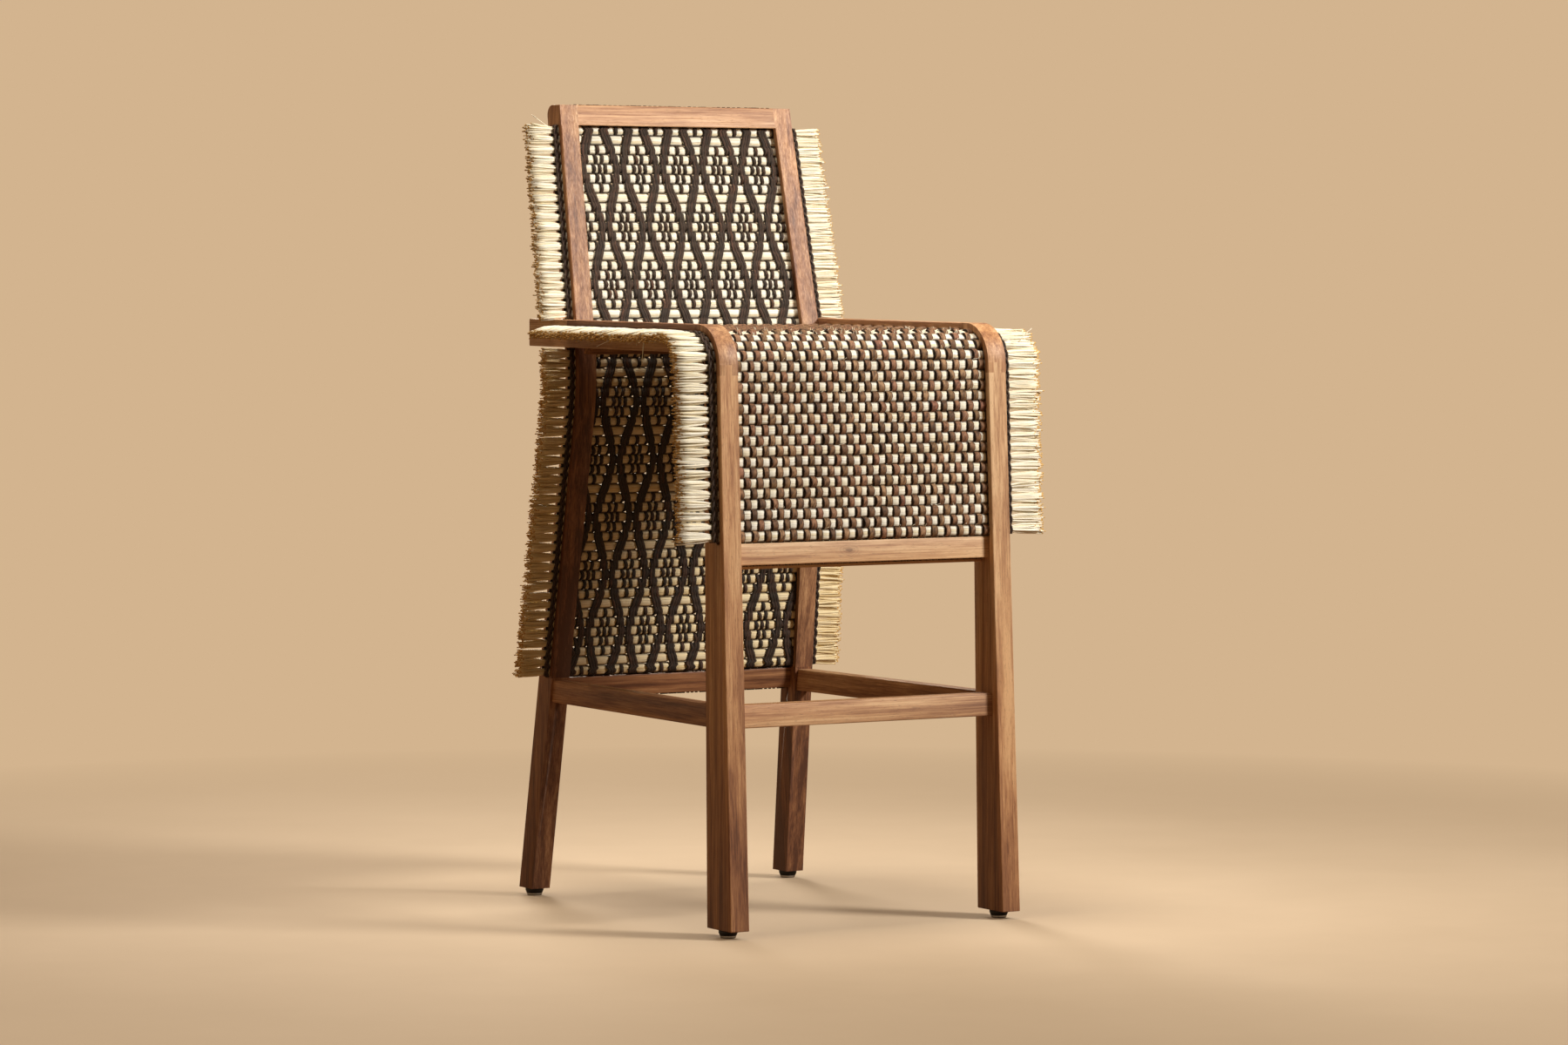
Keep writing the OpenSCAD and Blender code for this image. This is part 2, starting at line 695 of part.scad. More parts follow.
// Side stretcher, cut to the slopes of the two legs that it joins
module stretcher(side) {
    z = footrest_z - footrest_h;
    y1 = y0 + leg_foot_d - front_rake;
    y2 = post_y(foot_mid_z);
    over = 40;
    step = (post_x(foot_mid_z) - leg_x(foot_mid_z)) / (y2 - y1);
    xf = leg_x(foot_mid_z) - stretcher_set - step * over;
    xr = post_x(foot_mid_z) - stretcher_set + step * over;
    color(wood) difference() {
        on_side(side) intersection() {
            translate([0, 0, z]) linear_extrude(footrest_h) polygon([
                [xf - footrest_t, y1 - over], [xf, y1 - over], [xr, y2 + over], [xr - footrest_t, y2 + over]
            ]);
            along_x(0, front_w) polygon([
                [leg_back_y(z), z], [post_y(z), z], [post_y(footrest_z), footrest_z],
                [leg_back_y(footrest_z), footrest_z]
            ]);
        }
        big_dowels(big_dowel_d + 2 * dowel_fit, dowel_l + 2 * end_fit);
    }
}

// Seat mat: straw bundles across the stool, over the corner and down the front
mat_fit_t = mat_t - 2 * slot_fit;
mat_web = 4;
mat_steps = 5;
seat_edge = front_w / 2 + 2;
module seat_mat() {
    d1 = apron_set + mat_rail_t + lay_gap;
    d2 = d1 + weft_t;
    low = apron_z - mat_rail_h - strip_end;
    z1 = apron_z + lay_gap;
    z2 = z1 + weft_t;
    color(straw) difference() {
        union() {
            along_x(-seat_edge, seat_edge) polygon(seat_band(mat_fit_t, mat_web, mat_steps, 0, seat_rows));
            // Woven strips turned down behind the apron rail
            between_legs(strip_gap) polygon([
                [front_y(apron_mat_z + 2, mid_d), apron_mat_z + 2], [front_y(apron_z, mid_d), z1],
                [front_y(apron_z, d1), z1], [front_y(low, d1), low], [front_y(low, d2), low],
                [front_y(z2, d2), z2], [front_y(z2, mid_d + 3), z2]
            ]);
            // Woven strips turned down behind the rear rail of the seat
            between_legs(strip_gap)
                translate([seat_rear_y + mat_rail_t + lay_gap, seat_rear_top - seat_rear_h + 2])
                    square([weft_t, seat_rear_h + 2]);
        }
        batten_screw_sites() batten_screw_shape(dowel_fit);
    }
}

// Back mat: straw bundles from post to post, kinked with the posts
module back_mat() {
    d1 = rear_set + mat_rail_t + lay_gap;
    dt = top_rail_t + lay_gap / 2;
    z1 = rear_rail_z + lay_gap;
    z2 = back_mat_z2 - back_pitch / 2;
    low = rear_rail_z - mat_rail_h - strip_end;
    high = back_h + strip_end;
    color(straw) difference() {
        union() {
            intersection() {
                along_x(-front_w, front_w)
                    polygon(back_band(mat_fit_t, mat_web, mat_steps, back_mat_z1, back_mat_z2));
                along_y() polygon([for (p = [[-1, 0], [1, 0], [1, back_h], [-1, back_h]])
                    [p[0] * post_x(p[1]), p[1]]]);
            }
            // Woven strips turned down behind the rear bottom rail
            between_posts(strip_gap) polygon([
                [post_y(back_mat_z1 + 2, mid_d), back_mat_z1 + 2], [post_y(z1, mid_d), z1],
                [post_y(z1, d1), z1], [post_y(low, d1), low], [post_y(low, d1 + weft_t), low],
                [post_y(back_mat_z1, d1 + weft_t), back_mat_z1],
                [post_y(back_mat_z1, mid_d + 3), back_mat_z1]
            ]);
            // Woven strips that stand up behind the top rail
            between_posts(strip_gap, high) polygon([
                [post_y(z2, mid_d - 1), z2], [post_y(back_mat_z2 - 0.5, dt), back_mat_z2 - 0.5],
                [post_y(high, dt), high], [post_y(high, dt + weft_t), high],
                [post_y(z2, dt + weft_t), z2]
            ]);
        }
        batten_screw_sites() batten_screw_shape(dowel_fit);
    }
}

// Braided edges, one ridge for each bundle
braid_web = 6;
braid_steps = 2;
module seat_braid_part(side) {
    color(strips) on_side(side) along_x(seat_edge, seat_edge + seat_braid)
        polygon(seat_band(mat_fit_t, braid_web, braid_steps, 0, seat_rows));
}

// The edges of the back stop below and above the side rails
rail_low_z = rail_z(post_y(seat_h), rail_stack) - batten_gap;
rail_high_z = rail_z(post_y(seat_h, post_d)) + batten_gap;

module back_braid_part(side) {
    color(strips) on_side(side) for (z = [[back_mat_z1, rail_low_z], [rail_high_z, back_mat_z2]])
        post_slice(0, back_braid) polygon(back_band(mat_fit_t, braid_web, braid_steps, z[0], z[1]));
}

// Fringe: two flat wisps of straw for each bundle, on a slice of the mat's edge
slice_t = 3;
slice_w = mat_t - 4;
wisp_gap = 0.9;
wisp_t = 0.82 * mat_t;
function wisp_cut(i) = 2.5 * (1 + sin(i * 137)) / 2;
function wisp_tilt(i) = 2.2 * sin(i * 71);

module seat_fringe_part(side, n1, n2) {
    x = seat_edge + seat_braid;
    w = seat_row / 2 - wisp_gap;
    color(straw) on_side(side) {
        along_x(x, x + slice_t) polygon(seat_band(slice_w, slice_w, 1, n1, n2));
        for (i = [2 * n1 : 2 * n2 - 1])
            let (s = (i + 0.5) * seat_row / 2, p = path_pt(s))
                translate([x + slice_t / 2, p[0], p[1]]) rotate([path_a(s), 0, 0])
                    rotate([0, wisp_tilt(i), 0])
                        translate([0, -w / 2, -wisp_t / 2])
                            cube([seat_fringe - slice_t / 2 - wisp_cut(i), w, wisp_t]);
    }
}

module back_fringe_part(side, z1, z2) {
    n = 2 * back_count(z1, z2);
    row = (z2 - z1) / n;
    w = row - wisp_gap;
    color(straw) on_side(side) {
        post_slice(back_braid, back_braid + slice_t)
            polygon(concat(post_line(mid_d + slice_w / 2, z1, z2),
                back_to_front(post_line(mid_d - slice_w / 2, z1, z2))));
        for (i = [0 : n - 1])
            let (z = z1 + (i + 0.5) * row)
                translate([post_x(z) + back_braid + slice_t / 2, post_y(z, mid_d), z])
                    rotate([0, 0, wisp_tilt(i)])
                        translate([0, -wisp_t / 2, -w / 2])
                            cube([back_fringe - slice_t / 2 - wisp_cut(i), wisp_t, w]);
    }
}

// The seat fringe changes node in the middle of the corner
corner_row = round((seat_run + curve_run / 2) / seat_row);

// Hardware
module rail_dowels() {
    color(wood) {
        mat_dowels(dowel_d, dowel_l);
        seat_rear_dowels(dowel_d, dowel_l);
        rail_post_dowels(dowel_d, dowel_l);
    }
}

module footrest_dowels() color(wood) big_dowels(big_dowel_d, dowel_l);

module seat_rail_screws() color(steel) rail_screw_shape(0);

module batten_screws() color(steel) batten_screw_sites() batten_screw_shape(0);

base_h = 3;
base_round = 1.5;
module foot_cushions() {
    color(rubber) foot_sites() rotate_extrude() polygon([
        [foot_screw_d / 2 + dowel_fit, base_h], [base_d / 2 + 0.4, base_h], [foot_d / 2, foot_h * 0.7],
        [foot_d / 2, foot_h], [foot_screw_d / 2 + dowel_fit, foot_h]
    ]);
}

module foot_bases() {
    r = base_d / 2 - base_round;
    color(steel) foot_sites() rotate_extrude() polygon(concat(
        [[foot_screw_d + dowel_fit, 0]],
        [for (a = [0 : 30 : 90]) [r + base_round * sin(a), base_round * (1 - cos(a))]],
        [[base_d / 2, base_h], [foot_screw_d / 2 + dowel_fit, base_h],
            [foot_screw_d / 2 + dowel_fit, head_under + head_h],
            [foot_screw_d + dowel_fit, head_under + head_h]]
    ));
}

module foot_screws() color(steel) foot_sites() foot_screw_shape(0);

front_leg(-1);  // front_leg_left
front_leg(1);  // front_leg_right
rear_leg(-1);  // rear_leg_left
rear_leg(1);  // rear_leg_right
corner_block(-1);  // corner_block_left
corner_block(1);  // corner_block_right
seat_rail(-1);  // seat_rail_left
seat_rail(1);  // seat_rail_right
front_strip(-1);  // front_strip_left
front_strip(1);  // front_strip_right
corner_strip(-1);  // corner_strip_left
corner_strip(1);  // corner_strip_right
seat_strip(-1);  // seat_strip_left
seat_strip(1);  // seat_strip_right
post_strip(-1, back_split_z, top_rail_z);  // back_strip_left
post_strip(1, back_split_z, top_rail_z);  // back_strip_right
post_strip(-1, low_shoulder_z, back_split_z);  // lower_back_strip_left
post_strip(1, low_shoulder_z, back_split_z);  // lower_back_strip_right
top_rail();
rear_bottom_rail();
apron_rail();
seat_rear_rail();
top_batten();
rear_bottom_batten();
apron_batten();
seat_rear_batten();
footrest_rail();
stretcher(-1);  // stretcher_left
stretcher(1);  // stretcher_right
seat_mat();
back_mat();
seat_braid_part(-1);  // seat_braid_left
seat_braid_part(1);  // seat_braid_right
back_braid_part(-1);  // back_braid_left
back_braid_part(1);  // back_braid_right
seat_fringe_part(-1, 0, corner_row);  // seat_fringe_left
seat_fringe_part(1, 0, corner_row);  // seat_fringe_right
seat_fringe_part(-1, corner_row, seat_rows);  // apron_fringe_left
seat_fringe_part(1, corner_row, seat_rows);  // apron_fringe_right
back_fringe_part(-1, rail_high_z, back_mat_z2);  // upper_back_fringe_left
back_fringe_part(1, rail_high_z, back_mat_z2);  // upper_back_fringe_right
back_fringe_part(-1, back_mat_z1, rail_low_z);  // lower_back_fringe_left
back_fringe_part(1, back_mat_z1, rail_low_z);  // lower_back_fringe_right
rail_dowels();
footrest_dowels();
seat_rail_screws();
batten_screws();
foot_cushions();
foot_bases();
foot_screws();
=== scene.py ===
# %% [markdown]
# # A bar stool with woven straw mats
# The stool has a hardwood frame, a straw seat that rolls over the front as an apron,
# and a straw back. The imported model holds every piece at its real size, so this lesson
# dresses it: it bevels the wood, weaves the mats bundle by bundle and strip by strip,
# plaits their edges and lets every straw of the fringes stand out.

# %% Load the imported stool
import math
import random

import bmesh
import bpy
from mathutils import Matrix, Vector, noise
from mathutils.bvhtree import BVHTree


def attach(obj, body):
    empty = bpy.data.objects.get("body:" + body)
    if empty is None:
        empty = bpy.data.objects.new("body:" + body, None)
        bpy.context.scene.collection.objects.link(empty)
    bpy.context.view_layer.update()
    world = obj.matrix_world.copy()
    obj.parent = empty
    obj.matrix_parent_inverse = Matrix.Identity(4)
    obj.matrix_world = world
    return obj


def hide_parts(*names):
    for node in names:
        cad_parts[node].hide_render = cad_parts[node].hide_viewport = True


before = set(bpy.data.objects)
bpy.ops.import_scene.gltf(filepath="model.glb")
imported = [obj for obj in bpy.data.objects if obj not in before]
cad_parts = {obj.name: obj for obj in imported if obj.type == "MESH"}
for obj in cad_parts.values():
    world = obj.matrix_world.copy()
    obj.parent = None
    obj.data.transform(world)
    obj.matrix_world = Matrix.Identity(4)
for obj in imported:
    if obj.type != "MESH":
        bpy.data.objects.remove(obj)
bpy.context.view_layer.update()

# %% [markdown]
# ## The camera
# The photo was taken from low on the left with a long lens. A camera could be guessed,
# but this one was fitted to the stool's own edges, so it stands in the same metres as
# everything else.

# %% Camera
scene = bpy.context.scene
eye = Vector((-3.4475, -5.809, 0.8291))
pitch_down = math.radians(2.7835)
yaw = math.radians(-30.917)
camera_data = bpy.data.cameras.new("camera")
camera_data.sensor_width = 36
camera_data.lens = 119.63
camera = bpy.data.objects.new("camera", camera_data)
camera.location = eye
camera.rotation_euler = (math.pi / 2 - pitch_down, 0, yaw)
scene.collection.objects.link(camera)
scene.camera = camera
print("camera", round(eye.length, 2), "m from the stool's foot")

# %% [markdown]
# ## Sizes that the mats follow
# The mats lie between two layers of each side frame, so every bundle and strip needs
# the frame's own lines. These are the driving sizes, in metres.

# %% Driving sizes
seat_h, back_h = 0.76, 1.045
frame_w = 0.0265
seat_d, seat_rise = 0.495, 0.004
strip_t, mat_t = 0.008, 0.011
corner_r = 0.052
front_half, front_rake = 0.211, 0.035
bend_z, bend_back, bend_half = 0.688, 0.399, 0.052
foot_back, top_back = 0.097, 0.076
post_foot_half, post_top_half = 0.2095, 0.176
post_d, foot_h = 0.036, 0.01
seat_mat_l = 0.39
apron_mat_z = 0.4916
back_mat_low, back_mat_high = 0.2936, 1.0178
seat_edge, seat_braid, seat_fringe = 0.213, 0.011, 0.047
strip_count, strip_pitch, strip_shift = 39, 0.00945, 0.0004
mid_d = strip_t + mat_t / 2

front_reach = front_rake * (1 - foot_h / seat_h)
rear_reach = bend_back + post_d + foot_back * (1 - foot_h / bend_z)
y0 = -(rear_reach - front_reach) / 2
print("front of the seat at y =", round(y0, 4))

# %% [markdown]
# ## The path of the seat mat
# The mat runs forward, rounds the corner and hangs down the front. One number, the
# distance along that path, places a bundle or a point of a strip. The function gives
# the place and the direction that points out of the mat.

# %% Path of the seat mat
rake_a = math.atan2(front_rake, seat_h)
rise_a = math.atan2(seat_rise, seat_d)
turn_a = math.pi / 2 - rake_a - rise_a
bend_l = corner_r * math.tan(turn_a / 2)
backwards = Vector((0, math.cos(rise_a), math.sin(rise_a)))
downwards = Vector((0, -math.sin(rake_a), -math.cos(rake_a)))
corner_c = Vector((0, y0, seat_h)) + bend_l * backwards
corner_c += corner_r * Vector((0, math.sin(rise_a), -math.cos(rise_a)))
seat_run = (seat_mat_l - bend_l) / math.cos(rise_a)
curve_run = (corner_r - mid_d) * turn_a
front_run = (seat_h - apron_mat_z) / math.cos(rake_a) - bend_l
mat_run = seat_run + curve_run + front_run


def seat_place(s, out=0.0):
    """Place and outward direction at distance s from the rear end of the seat mat."""
    share = min(max((s - seat_run) / curve_run, 0.0), 1.0)
    a = math.pi / 2 + rise_a + turn_a * share
    up = Vector((0, math.cos(a), math.sin(a)))
    p = corner_c + up * (corner_r - mid_d + out)
    if s < seat_run:
        p += (seat_run - s) * backwards
    else:
        p += max(0.0, s - seat_run - curve_run) * downwards
    return p, up


def at_x(x, spot):
    """The spot moved across to x."""
    return Vector((x, spot.y, spot.z))


print("seat mat", round(mat_run, 4), "m long")

# %% [markdown]
# ## The path of the back mat
# The back follows the rear legs, which are straight below and above a smooth bend. The
# distance along it is simply the height.

# %% Path of the back mat
low_slope = -foot_back / bend_z
top_slope = top_back / (back_h - bend_z)


def bent(t):
    if t <= -bend_half:
        return low_slope * t
    if t >= bend_half:
        return top_slope * t
    return low_slope * t + (top_slope - low_slope) * (t + bend_half) ** 2 / (4 * bend_half)


def back_place(z, out=0.0):
    """Place and forward direction at height z of the back mat."""
    step = 0.001
    slope = (bent(z - bend_z + step) - bent(z - bend_z - step)) / (2 * step)
    ahead = Vector((0, -1, slope)).normalized()
    return Vector((0, y0 + bend_back + bent(z - bend_z) + mid_d, z)) + ahead * out, ahead


def post_half(z):
    return post_foot_half + (post_top_half - post_foot_half) * z / back_h


print("back mat", round(back_mat_high - back_mat_low, 4), "m high")

# %% [markdown]
# ## Rolling tubes from one grid
# Straw bundles, woven strips, plaits and single straws are all long thin tubes. A curve
# with a bevel would make them too, but a flat grid gives more control: it is cut into
# bands, and each band is rolled up by saying where every ring and side goes. The UV map
# comes with it: U runs along a tube, and V counts the tubes and goes round each one.

# %% Tubes
def roll_tubes(name, tubes, rings, sides, place, run=1.0, start=0.0):
    """Closed tubes: place(tube, ring, side) gives each vertex, and U goes from start by run."""
    bm = bmesh.new()
    uv = bm.loops.layers.uv.new("UVMap")
    band = sides + 1
    bmesh.ops.create_grid(bm, x_segments=rings, y_segments=tubes * band - 1, size=0.5)
    bm.verts.index_update()
    between = []
    for face in bm.faces:
        lines = [loop.vert.index // (rings + 1) for loop in face.loops]
        tube, side = divmod(min(lines), band)
        if side == sides:
            between.append(face)
        for loop, line in zip(face.loops, lines):
            u = (loop.vert.index % (rings + 1)) / rings
            loop[uv].uv = (start + u * run, tube + (line - tube * band) / sides)
    for vert in bm.verts:
        line, ring = divmod(vert.index, rings + 1)
        tube, side = divmod(line, band)
        vert.co = place(tube, ring, side % sides)
    bmesh.ops.delete(bm, geom=between, context="FACES")
    bmesh.ops.remove_doubles(bm, verts=bm.verts, dist=1e-7)
    rims = [edge for edge in bm.edges if edge.is_boundary]
    for face in bmesh.ops.holes_fill(bm, edges=rims, sides=0)["faces"]:
        for loop in face.loops:
            loop[uv].uv = loop.link_loop_radial_next[uv].uv
    bmesh.ops.recalc_face_normals(bm, faces=bm.faces)
    return finished(name, bm)


def finished(name, bm, smooth=True):
    """Puts a bmesh into a new object at the origin."""
    mesh = bpy.data.meshes.new(name)
    bm.to_mesh(mesh)
    bm.free()
    if smooth:
        mesh.shade_smooth()
    piece = bpy.data.objects.new(name, mesh)
    scene.collection.objects.link(piece)
    return piece


def dressed(piece, material, slot, *nodes):
    """Gives a piece its material, and ties it to the frame."""
    piece.data.materials.clear()
    piece.data.materials.append(material)
    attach(piece, "root")
    if nodes:
        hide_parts(*nodes)
    triangles = sum(len(face.vertices) - 2 for face in piece.data.polygons)
    print(piece.name, triangles, "triangles")


# %% [markdown]
# ## Node trees in few words
# A material is a graph of small nodes. Colours are written as the eye reads them, from 0
# to 255, and made linear for the shader. A small class stands for a socket, and a line
# of arithmetic with it becomes the maths nodes it needs.

# %% Colours and nodes
def colour(red, green, blue):
    """A colour as a screen shows it, made linear for a shader."""
    shares = [value / 255 for value in (red, green, blue)]
    linear = [s / 12.92 if s < 0.04 else ((s + 0.055) / 1.055) ** 2.4 for s in shares]
    return (*linear, 1.0)


def add(tree, kind, joined=None, **settings):
    """Adds a shader node; joined holds numbers, colours or sockets for its inputs."""
    node = tree.nodes.new(kind if kind.startswith("Node") else "ShaderNode" + kind)
    for name, value in settings.items():
        setattr(node, name, value)
    for name, value in (joined or {}).items():
        value = getattr(value, "socket", value)
        if isinstance(value, bpy.types.NodeSocket):
            tree.links.new(value, node.inputs[name])
        else:
            node.inputs[name].default_value = value
    return node


print("128 becomes", round(colour(128, 0, 0)[0], 3))


# %% Values
def made(tree, kind, joined=None, out=0, **settings):
    """Adds a node and returns one of its outputs as a Value."""
    return Value(add(tree, kind, joined, **settings).outputs[out])


class Value:
    """A socket that can be reckoned with: its sums and products are maths nodes."""

    def __init__(self, socket):
        self.socket, self.tree = socket, socket.id_data

    def maths(self, operation, other=0.0):
        return made(self.tree, "Math", {0: self, 1: other}, operation=operation)

    def __add__(self, other):
        return self.maths("ADD", other)

    def __sub__(self, other):
        return self.maths("SUBTRACT", other)

    def __mul__(self, other):
        return self.maths("MULTIPLY", other)

    def __abs__(self):
        return self.maths("ABSOLUTE")

    def spread(self, low, high, new_low=0.0, new_high=1.0):
        """Stretches the value from one range to another."""
        ranges = {"Value": self, "From Min": low, "From Max": high,
                  "To Min": new_low, "To Max": new_high}
        return made(self.tree, "MapRange", ranges, "Result")

    def ramp(self, *stops):
        """Colour ramp through stops of (place, red, green, blue)."""
        node = add(self.tree, "ValToRGB", {"Fac": self})
        elements = node.color_ramp.elements
        elements[0].position, elements[0].color = stops[0][0], colour(*stops[0][1:])
        elements[1].position, elements[1].color = stops[-1][0], colour(*stops[-1][1:])
        for place, *tint in stops[1:-1]:
            elements.new(place).color = colour(*tint)
        return Value(node.outputs["Color"])

    def into(self, node, name):
        """Links the value to an input of a node."""
        self.tree.links.new(self.socket, node.inputs[name])


print("values are ready")


# %% Mixing, vectors and noise
def mixed(share, a, b, blend="MIX"):
    """Mixes two colours, each a Value or (red, green, blue)."""
    tree = next(value.tree for value in (share, a, b) if isinstance(value, Value))
    a, b = (colour(*side) if isinstance(side, tuple) else side for side in (a, b))
    return made(tree, "Mix", {0: share, 6: a, 7: b}, 2, data_type="RGBA", blend_type=blend)


def object_place(tree):
    """The place on the object, in metres."""
    return made(tree, "TexCoord", out="Object")


def parts(vector):
    """X, Y and Z of a vector."""
    return [Value(out) for out in add(vector.tree, "SeparateXYZ", {0: vector}).outputs]


def vector_of(x, y):
    return made(x.tree, "CombineXYZ", {0: x, 1: y})


def length(vector):
    return made(vector.tree, "VectorMath", {0: vector}, "Value", operation="LENGTH")


def mapped(vector, **changes):
    """A vector with a Location, Rotation or Scale applied."""
    return made(vector.tree, "Mapping", {"Vector": vector, **changes})


def clouds(vector, scale=1.0, detail=2.0, rough=0.5):
    """Soft noise as one value."""
    inputs = {"Vector": vector, "Scale": scale, "Detail": detail, "Roughness": rough}
    return made(vector.tree, "TexNoise", inputs, "Fac")


def grain_noise(vector, size, detail=2.0, rough=0.5):
    """Noise stretched by three scales."""
    return clouds(mapped(vector, Scale=size), 1.0, detail, rough)


print("mixing and noise are ready")


# %% Groups and materials
def start_group(name, outputs, vector, **numbers):
    """Starts a node group with named sockets; returns it and a Value for each input."""
    group = bpy.data.node_groups.new(name, "ShaderNodeTree")
    new_socket = group.interface.new_socket
    new_socket(vector, in_out="INPUT", socket_type="NodeSocketVector")
    for label, number in numbers.items():
        socket = new_socket(label, in_out="INPUT", socket_type="NodeSocketFloat")
        socket.default_value = number
    for label in outputs:
        kind = "NodeSocketColor" if label == "Colour" else "NodeSocketFloat"
        new_socket(label, in_out="OUTPUT", socket_type=kind)
    entry = add(group, "NodeGroupInput").outputs
    return group, [Value(entry[label]) for label in (vector, *numbers)]


def end_group(group, **values):
    """Joins the values to the group's outputs."""
    add(group, "NodeGroupOutput", values)
    print(group.name, "group:", len(group.nodes), "nodes")


def use_group(tree, group, **inputs):
    """Adds a group to a tree; returns a Value for each of its outputs."""
    return [Value(out) for out in add(tree, "Group", inputs, node_tree=group).outputs]


def start_material(name, roughness=0.5):
    """New material with its Principled shader."""
    material = bpy.data.materials.new(name)
    material.use_nodes = True
    tree = material.node_tree
    shader = tree.nodes["Principled BSDF"]
    shader.inputs["Roughness"].default_value = roughness
    return material, tree, shader


def bump(shader, height, strength, distance):
    inputs = {"Height": height, "Strength": strength, "Distance": distance}
    made(height.tree, "Bump", inputs, "Normal").into(shader, "Normal")


def tinted_low(body, tint):
    """Tints a colour below the seat, where less and warmer light falls."""
    height = parts(object_place(body.tree))[2]
    return mixed(height.spread(0.77, 0.69), body, mixed(1.0, body, tint, "MULTIPLY"))


print("groups and materials are ready")

# %% [markdown]
# ## Wood grain
# The frame is a brown hardwood with long straight lines, small dark pores and soft
# bands. X runs with the grain. Rings and stretched noise are summed into one shade, a
# ramp turns it into browns, and finer noise gives the pores.

# %% Wood grain group
wood_grain, (place, tone) = start_group(
    "wood grain", ("Colour", "Roughness", "Height"), "Vector", Tone=0.5)
bands = grain_noise(place, (2.2, 38, 38))
waves = grain_noise(place, (5, 150, 150), 2.0, 0.6)
lines = grain_noise(place, (9, 620, 620), 3.0, 0.7)
pores = grain_noise(place, (130, 1900, 1900), 1.0).spread(0.36, 0.27)
pink = grain_noise(place, (1.4, 16, 16), 1.0).spread(0.42, 0.65, 0.0, 0.5)
ring_inputs = {"Vector": mapped(place, Scale=(0.1, 1, 1)), "Scale": 26, "Distortion": 5,
               "Detail": 3, "Detail Scale": 9, "Detail Roughness": 0.6}
rings = made(wood_grain, "TexWave", ring_inputs, "Fac", wave_type="RINGS", rings_direction="X")
even_shade = 1.265
shade = rings * 0.13 + bands * 0.9 + waves * 0.7 + lines * 0.8 + tone - even_shade
body = shade.ramp((0.08, 88, 53, 34), (0.28, 126, 83, 55), (0.5, 164, 118, 81),
                  (0.7, 196, 150, 107), (0.92, 226, 186, 140))
body = mixed(pink, body, mixed(1.0, body, (250, 228, 206), "MULTIPLY"))
body = mixed(pores * 0.5, body, (84, 48, 28))
end_group(wood_grain, Colour=body, Roughness=lines.spread(0.3, 0.7, 0.62, 0.46),
          Height=lines * 0.5 - pores)

# %% [markdown]
# ## Knots, and one wood for each piece
# A knot is a dark heart in faint rings, worked out from the distance to its middle.
# Every piece gets a wood of its own: the grain runs along it and starts at a different
# place. Painted light makes the tone fall toward the floor, fastest in the lowest 0.3 m.

# %% Knot group and woods
knot_look, (place, size) = start_group("knot", ("Mask",), "Vector", Size=0.005)
shaky = clouds(place, 160.0) - 0.5
far = length(place).maths("DIVIDE", size) + shaky * 1.2
heart = far.spread(0.9, 0.4)
halo = far.spread(2.6, 0.8, 0.0, 0.45) * abs((far * 5.0).maths("SINE"))
end_group(knot_look, Mask=heart.maths("MAXIMUM", halo))


def wood(name, axis, tone, seed, knot=None, rise=0.35):
    """Wood of one piece, its grain along the axis; its tone rises with each metre of height, as
    painted light.
    """
    material, tree, shader = start_material(name)
    chance = random.Random(seed)
    turns = {"X": (0, 0, 0), "Y": (0, 0, -math.pi / 2), "Z": (0, math.pi / 2, 0)}[axis]
    place = object_place(tree)
    shift = [chance.uniform(-0.06, 0.06) + chance.choice((-0.05, 0.05)) for _ in range(3)]
    height = parts(place)[2]
    low_tone, foot_fall = tone - rise / 2, 0.155
    # Painted shade: the wood darkens fastest in its lowest 0.3 m.
    painted_foot_shade = height.spread(0.0, 0.3, low_tone - foot_fall, low_tone)
    body, rough, relief = use_group(
        tree, wood_grain, Vector=mapped(place, Rotation=turns, Location=shift),
        Tone=height * rise + painted_foot_shade)
    if knot:
        near = made(tree, "VectorMath", {0: place, 1: knot[:3]}, operation="SUBTRACT")
        near = mapped(near, Rotation=turns, Scale=(0.5, 1, 1))
        mask, = use_group(tree, knot_look, Vector=near, Size=knot[3])
        body = mixed(mask * 0.7, body, (98, 60, 40))
    body.into(shader, "Base Color")
    rough.into(shader, "Roughness")
    bump(shader, relief, 0.25, 0.0004)
    return material


# %% [markdown]
# ## Straw
# A bundle shows about a dozen straws. Each straw has its own tone of cream, with a dark
# line to its neighbour, and painted shade darkens the bundle in the crease to the next
# one. V counts the bundles and goes round each one, so V times the number of straws
# numbers every straw, and white noise turns the number into a tone.

# %% Straw group
straw_look, (uv, straws, depth, crease_shade) = start_group(
    "straw", ("Colour", "Height"), "UV", Straws=12.0, Lines=1.0, Crease=0.0)
along, across, _ = parts(uv)
counted = across * straws + (clouds(uv, 9.0, 1.0) - 0.5) * 1.6
tone = made(straw_look, "TexWhiteNoise", {"W": counted.maths("FLOOR")}, noise_dimensions="1D")
fibre = clouds(vector_of(along * 40.0, counted * 3.0), 1.0, 3.0)
body = (fibre * 0.5 + tone * 0.6).ramp((0.1, 226, 207, 164), (0.28, 242, 228, 194),
                                       (0.5, 250, 241, 217), (0.9, 254, 249, 234))
groove = abs(counted.maths("FRACT") - 0.5).spread(0.38, 0.5)
groove = groove * fibre.spread(0.4, 0.62, 0.9, 0.15) * depth
body = mixed(groove * 0.8, body, (140, 102, 58))
# Painted shade in the crease to the next bundle.
edge = abs((across * math.tau).maths("COSINE"))
body = mixed(edge.spread(0.6, 0.88) * crease_shade, body, (64, 40, 20))
end_group(straw_look, Colour=body, Height=fibre * 0.25 - groove)
